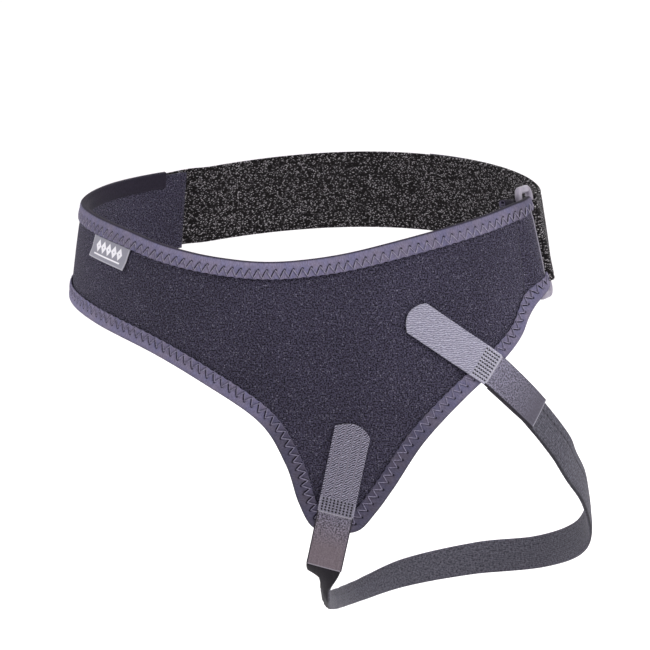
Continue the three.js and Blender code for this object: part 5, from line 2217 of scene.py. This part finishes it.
@dataclass
class ThighStrap(Piece):
    """The padded strap round the left thigh."""

    hip: HookTab
    groin: HookTab
    width: float = 24.0
    thickness: float = 4.0
    hip_start: float = 6.0
    groin_start: float = 22.0
    covered_width: float = 0.96
    row_at: float = -5.6  # the lengthwise row of stitches, from the strap's middle
    row_pitch: float = 5.0
    row_width: float = 0.85
    hole_length: float = 0.95
    hidden: tuple[int, int] = (12, 130)  # steps without stitches at the hip and at the groin
    edge_thickness: float = 0.6
    lobe: float = 1.03  # share of half the width kept on one side below the groin cover
    # across as a share of half the hips' width, back and height as shares of their sizes, then
    # shares of the strap's width and thickness
    route: tuple[tuple[float, ...], ...] = (
        (0.965, -0.194, -0.53, 1, 1),
        (0.99, -0.088, -0.588, 1, 1),
        (1.022, 0.081, -0.663, 1, 1),
        (1.032, 0.227, -0.738, 1, 1),
        (1.024, 0.363, -0.8, 1, 1),
        (0.975, 0.53, -0.869, 1, 1),
        (0.8, 0.833, -0.955, 1, 1),
        (0.53, 0.94, -1.0, 1, 1),
        (0.27, 0.76, -1.03, 0.9, 1.1),
        (0.12, 0.4, -1.045, 0.7, 1.3),
        (0.09, 0.0, -1.015, 0.6, 1.5),
        (0.112, -0.34, -0.965, 0.5, 1.6),
        (0.138, -0.6, -0.9, 0.66, 1.3),
    )
    thigh_middle: tuple[float, float] = (0.52, 0.095)
    steps: int = 620

    def controls(self) -> tuple[Array, Array, Array]:
        """Points, outward directions and sizes that the strap's curve runs through."""
        lay, form = self.layout, self.layout.form
        lift = lay.tab_high - SOFT_CLEARANCE - self.thickness / 2

        def covered(tab: HookTab, distances: list[float]) -> tuple[Array, Array]:
            """Points and directions under a cover."""
            distance = np.array(distances)
            along, height = lay.tab_place(tab.join, tab.length, distance, 0 * distance)
            return form.lifted(along, height, lift), form.normal(along, height)

        hip, groin = self.hip, self.groin
        hip_ends = (hip.length + self.hip_start, hip.length + hip.cover_length)
        groin_ends = (groin.length + self.groin_start, groin.length + groin.cover_length)
        start = covered(hip, [hip_ends[0], sum(hip_ends) / 2, hip_ends[1]])
        end = covered(groin, [groin_ends[1], sum(groin_ends) / 2, groin_ends[0]])
        rows = np.array(self.route)
        half = form.hip_width / 2
        points = rows[:, :3] * (half, form.hip_back, form.crotch_drop)
        middle = np.array([self.thigh_middle[0] * half, self.thigh_middle[1] * form.hip_back])
        outward = np.zeros_like(points)
        outward[:, :2] = points[:, :2] - middle
        narrow = np.tile([self.covered_width, 1.0, 0.0], (3, 1))
        sizes = np.column_stack([rows[:, 3:], np.zeros(len(rows))])
        return (
            np.concatenate([start[0], points, end[0]]),
            np.concatenate([start[1], unit(outward), end[1]]),
            np.concatenate([narrow, sizes, narrow]),
        )

    def build(self) -> None:
        """Builds the strap and its lengthwise row of stitches."""
        points, outs, sizes = self.controls()
        share = np.linspace(0, 1, self.steps + 1)
        middle = centripetal_spline(points, share)
        forward = unit(
            centripetal_spline(points, share + 1e-4) - centripetal_spline(points, share - 1e-4)
        )
        out = centripetal_spline(outs, share)
        across = unit(np.cross(forward, out))
        out = unit(np.cross(across, forward))
        size = centripetal_spline(sizes, share)
        lengths = lengths_along(middle)
        half = self.width / 2
        places = crowded(40, half, 0.9)
        swell = self.swell(places)
        bunch = np.clip((size[:, 1] - 1.05) / 0.4, 0, 1)
        crease = bunch[:, None] * (
            0.25 * np.sin(lengths[:, None] / 3.1 + places / 5)
            + 0.2 * np.sin(lengths[:, None] / 5.3 - places / 3)
        )
        end = rounded(lengths - lengths[-1] / 2, lengths[-1] / 2, 1.2)[:, None]
        height = self.thickness / 2 * (swell * end) * size[:, 1, None]
        below = lengths[-1] - lengths - (self.groin.cover_length - self.groin_start)
        shares = self.half_shares(size[:, 0], below)
        reach = places * np.where(places < 0, shares[0][:, None], shares[1][:, None])
        sideways = across[:, None] * reach[..., None]
        outer = middle[:, None] + sideways + out[:, None] * (height + crease)[..., None]
        inner = middle[:, None] + sideways - out[:, None] * (height - 0.5 * crease)[..., None]
        flat = flat_places(lengths[:, None], places[None])
        # painted shade below the groin cover, where the strap passes between the thighs
        painted_shade = ease(below, -3, 0.5) * (1 - ease(below, 70, 130))
        lift = self.thickness / 2 * float(self.swell(np.array([self.row_at]))[0])
        row = (
            middle
            + across * (self.row_at * shares[0][:, None])
            + out * (lift * size[:, 1:2] + 0.02)
        )
        first, last = self.hidden[0], self.steps - self.hidden[1]
        shown = slice(first, last)
        past = lengths_along(row) - lengths_along(row[: first + 1])[-1]
        sewn = lengths_along(row[shown])[-1]
        pitch = sewn / round(sewn / self.row_pitch)
        holes = bump_at((past / pitch % 1.0 - 0.5) * pitch, 0, self.hole_length)[:, None]
        # painted shade in the row of stitches, darkest in its needle holes, then painted shade near
        # one edge and below the groin cover
        marks = {
            "seam_shade": (0.15 + 0.85 * holes) * bump_at(places, self.row_at, self.row_width),
            "painted_shade": np.maximum(painted_shade[:, None], 0.75 * ease(places, half - 2.4, half - 0.6)),
        }
        strap = cloth_shell("padded_thigh_strap", outer, inner, flat, PADDING.material(), marks)
        seam = sew(
            "thigh_strap_seams",
            [(row[shown], out[shown], across[shown])],
            Seam.RUNNING,
            DARK_THREAD,
            {"Pitch": pitch * 0.9999, "Stitch length": 3.0, "Thread radius": 0.3, "Loft": 0.12},
        )
        self.settle(strap, "padded_strap", "thigh_strap")
        self.settle(seam, "padded_strap")

    def half_shares(self, size: Array, below: Array) -> tuple[Array, Array]:
        """Shares of half the width on the strap's two sides.

        Args:
            size: The route's share of the width at each station.
            below: Length from the groin cover's end to each station.

        Returns:
            The shares on the side towards the other thigh and on the outer side.
        """
        near = ease(below, -4, 0) * (1 - ease(below, 24, 42))
        lobed = self.lobe * (1 - 0.68 * ease(below, 11, 17))
        tapered = 1 - 0.6 * ease(below, 0, 30)
        return size + near * (lobed - size), size + near * (tapered - size)

    def swell(self, places: Array) -> Array:
        """Share of the strap's thickness across it: a crowned pad beside one row of stitches."""
        half = self.width / 2
        edge = rounded(places, half, 0.9, 0.4) * self.edge_thickness
        crown = ease(half - np.abs(places), 0.4, 6.5) * (1 - self.edge_thickness)
        flat = 0.14 * ease(self.row_at - places, -1.5, 1.0)
        return edge + crown - flat - 0.2 * bump_at(places, self.row_at, 0.9)


# -------------------------------------------------------------------------------------------------
# Studio


@dataclass(frozen=True)
class Softbox:
    """A large lamp: its direction from the belt in degrees, its distance, size and power."""

    name: str
    azimuth: float
    elevation: float
    distance: float
    size: float
    power: float
    colour: str = "#ffffff"


@dataclass
class Studio:
    """A pale paper sweep, soft lamps and the photograph's camera."""

    turn: float = 12.0  # degrees to the wearer's left
    down: float = 10.0
    distance: float = 1900.0
    pixels: float = 650.0
    focal: float = 2714.3  # in pixels
    middle_pixel: tuple[float, float] = (311.0, 240.0)  # where the origin is seen
    floor_height: float = -430.0
    rings: int = 40  # of the sweep's corners, of which the first lie flat
    flat_rings: int = 12
    sides: int = 96
    radii: tuple[float, float, float] = (0.2, 2.4, 1.6)  # metres: first ring, floor and curve
    wall: float = 2.0  # metres
    middle: Vector = field(default_factory=lambda: Vector((0, 0, -0.06)))  # the belt's, in metres
    ambient: float = 0.23
    lamps: tuple[Softbox, ...] = (
        Softbox("key_right", 62, 40, 1.9, 1.1, 27.0),
        Softbox("fill_left", -75, 30, 1.9, 1.5, 20.0),
        Softbox("back_light", 165, 40, 1.8, 1.4, 5.0),
    )
    paper_lamp: Softbox = Softbox("paper_light", 180, 60, 1.9, 2.2, 60.0)
    paper_lamp_aim: tuple[float, float, float] = (0.0, 3.4, 0.3)  # metres, behind the belt

    def build(self) -> None:
        """Sets up the stage, the lamps and the camera."""
        self.sweep()
        for lamp in self.lamps:
            self.light(lamp, self.middle)
        self.light(self.paper_lamp, Vector(self.paper_lamp_aim))
        self.ambience()
        self.camera()

    def sweep(self) -> None:
        """The floor, which curves up into a backdrop on every side far from the belt."""
        rings, flat, sides = self.rings, self.flat_rings, self.sides
        first, floor, curve = self.radii
        radius = np.concatenate([np.linspace(first, floor, flat), np.full(rings - flat, floor)])
        curl = np.concatenate([np.zeros(flat), np.linspace(0, 1, rings - flat + 1)[1:]])
        radius = radius + np.sin(curl * math.pi / 2) * curve
        height = (1 - np.cos(curl * math.pi / 2)) * curve + np.where(curl >= 1, self.wall, 0)
        turn = np.linspace(0, 2 * math.pi, sides, endpoint=False)
        height = height[:, None] + self.floor_height * MM + 0 * turn
        out = radius[:, None]
        grid = np.stack([out * np.cos(turn), out * np.sin(turn), height], -1)
        faces = tube_faces(rings, sides)[:-1].reshape(-1, 4)
        inner = np.arange(sides)
        spokes = np.stack([np.full(sides, rings * sides), np.roll(inner, -1), inner], -1)
        points = [*grid.reshape(-1, 3).tolist(), [0.0, 0.0, self.floor_height * MM]]
        mesh = bpy.data.meshes.new("paper_sweep")
        mesh.from_pydata(points, [], [*spokes.tolist(), *faces.tolist()])
        mesh.shade_smooth()
        mesh.materials.append(PAPER.material())
        add_object("paper_sweep", mesh)
        LOG.info("paper_sweep: stage")

    def light(self, lamp: Softbox, aim: Vector) -> None:
        """Adds one softbox.

        Args:
            lamp: Its direction from the belt, distance, size and power.
            aim: The point it faces, in metres.
        """
        data = bpy.data.lights.new(lamp.name, "AREA")
        data.shape = "DISK"
        data.size = lamp.size
        data.energy = lamp.power
        data.color = linear(lamp.colour)[:3]
        azimuth, elevation = math.radians(lamp.azimuth), math.radians(lamp.elevation)
        level = math.cos(elevation)
        back = Vector((math.sin(azimuth) * level, -math.cos(azimuth) * level, math.sin(elevation)))
        obj = add_object(lamp.name, data)
        obj.location = back * lamp.distance + self.middle
        obj.rotation_euler = (obj.location - aim).to_track_quat("Z", "Y").to_euler()
        obj.visible_camera = False

    def ambience(self) -> None:
        """Even white light from all round."""
        world = bpy.data.worlds.new("studio_air")
        world.use_nodes = True
        tree = world.node_tree
        tree.nodes.clear()
        air = put(tree, "ShaderNodeBackground", {"Color": "#ffffff", "Strength": self.ambient})
        put(tree, "ShaderNodeOutputWorld", {"Surface": air})
        bpy.context.scene.world = world
        bpy.context.scene.view_settings.view_transform = "Standard"

    def camera(self) -> None:
        """The photograph's camera."""
        turn, down = math.radians(self.turn), math.radians(self.down)
        level = math.cos(down)
        forward = Vector((-math.sin(turn) * level, math.cos(turn) * level, -math.sin(down)))
        right = Vector((math.cos(turn), math.sin(turn), 0))
        up = right.cross(forward)
        aside = (self.middle_pixel[0] - self.pixels / 2) / self.focal * self.distance
        above = (self.pixels / 2 - self.middle_pixel[1]) / self.focal * self.distance
        place = -(forward * self.distance + right * aside + up * above) * MM
        data = bpy.data.cameras.new("photograph_camera")
        data.sensor_width = 36.0
        data.lens = self.focal / self.pixels * data.sensor_width
        data.clip_start, data.clip_end = 0.05, 50.0
        camera = add_object("photograph_camera", data)
        axes = Matrix((right, up, -forward)).transposed()
        camera.matrix_world = Matrix.Translation(place) @ axes.to_4x4()
        bpy.context.scene.camera = camera


def main() -> None:
    """Builds the studio and every piece of the belt."""
    logging.basicConfig(level=logging.INFO, format="%(name)s %(message)s")
    layout = Layout()
    hip = HookTab(layout)
    groin = HookTab(
        layout,
        join=Join.GROIN,
        name="groin_tab",
        length=64.0,
        cover_length=41.0,
        corners=(4.0, 6.5),
        band=GROIN_BAND,
        tape=GROIN_TAPE,
        cover_tape=GROIN_COVER,
        thread=GREY_THREAD,
    )
    Studio().build()
    NeoprenePanel(layout).build()
    EdgeBinding(layout).build()
    EdgeBinding(layout, side=Side.UPPER, name="upper_binding").build()
    HipLabel(layout).build()
    SideRing(layout).build()
    BackStrap(layout).build()
    ClosureTab(layout).build()
    hip.build()
    groin.build()
    ThighStrap(layout, hip, groin).build()


if __name__ == "__main__":
    main()
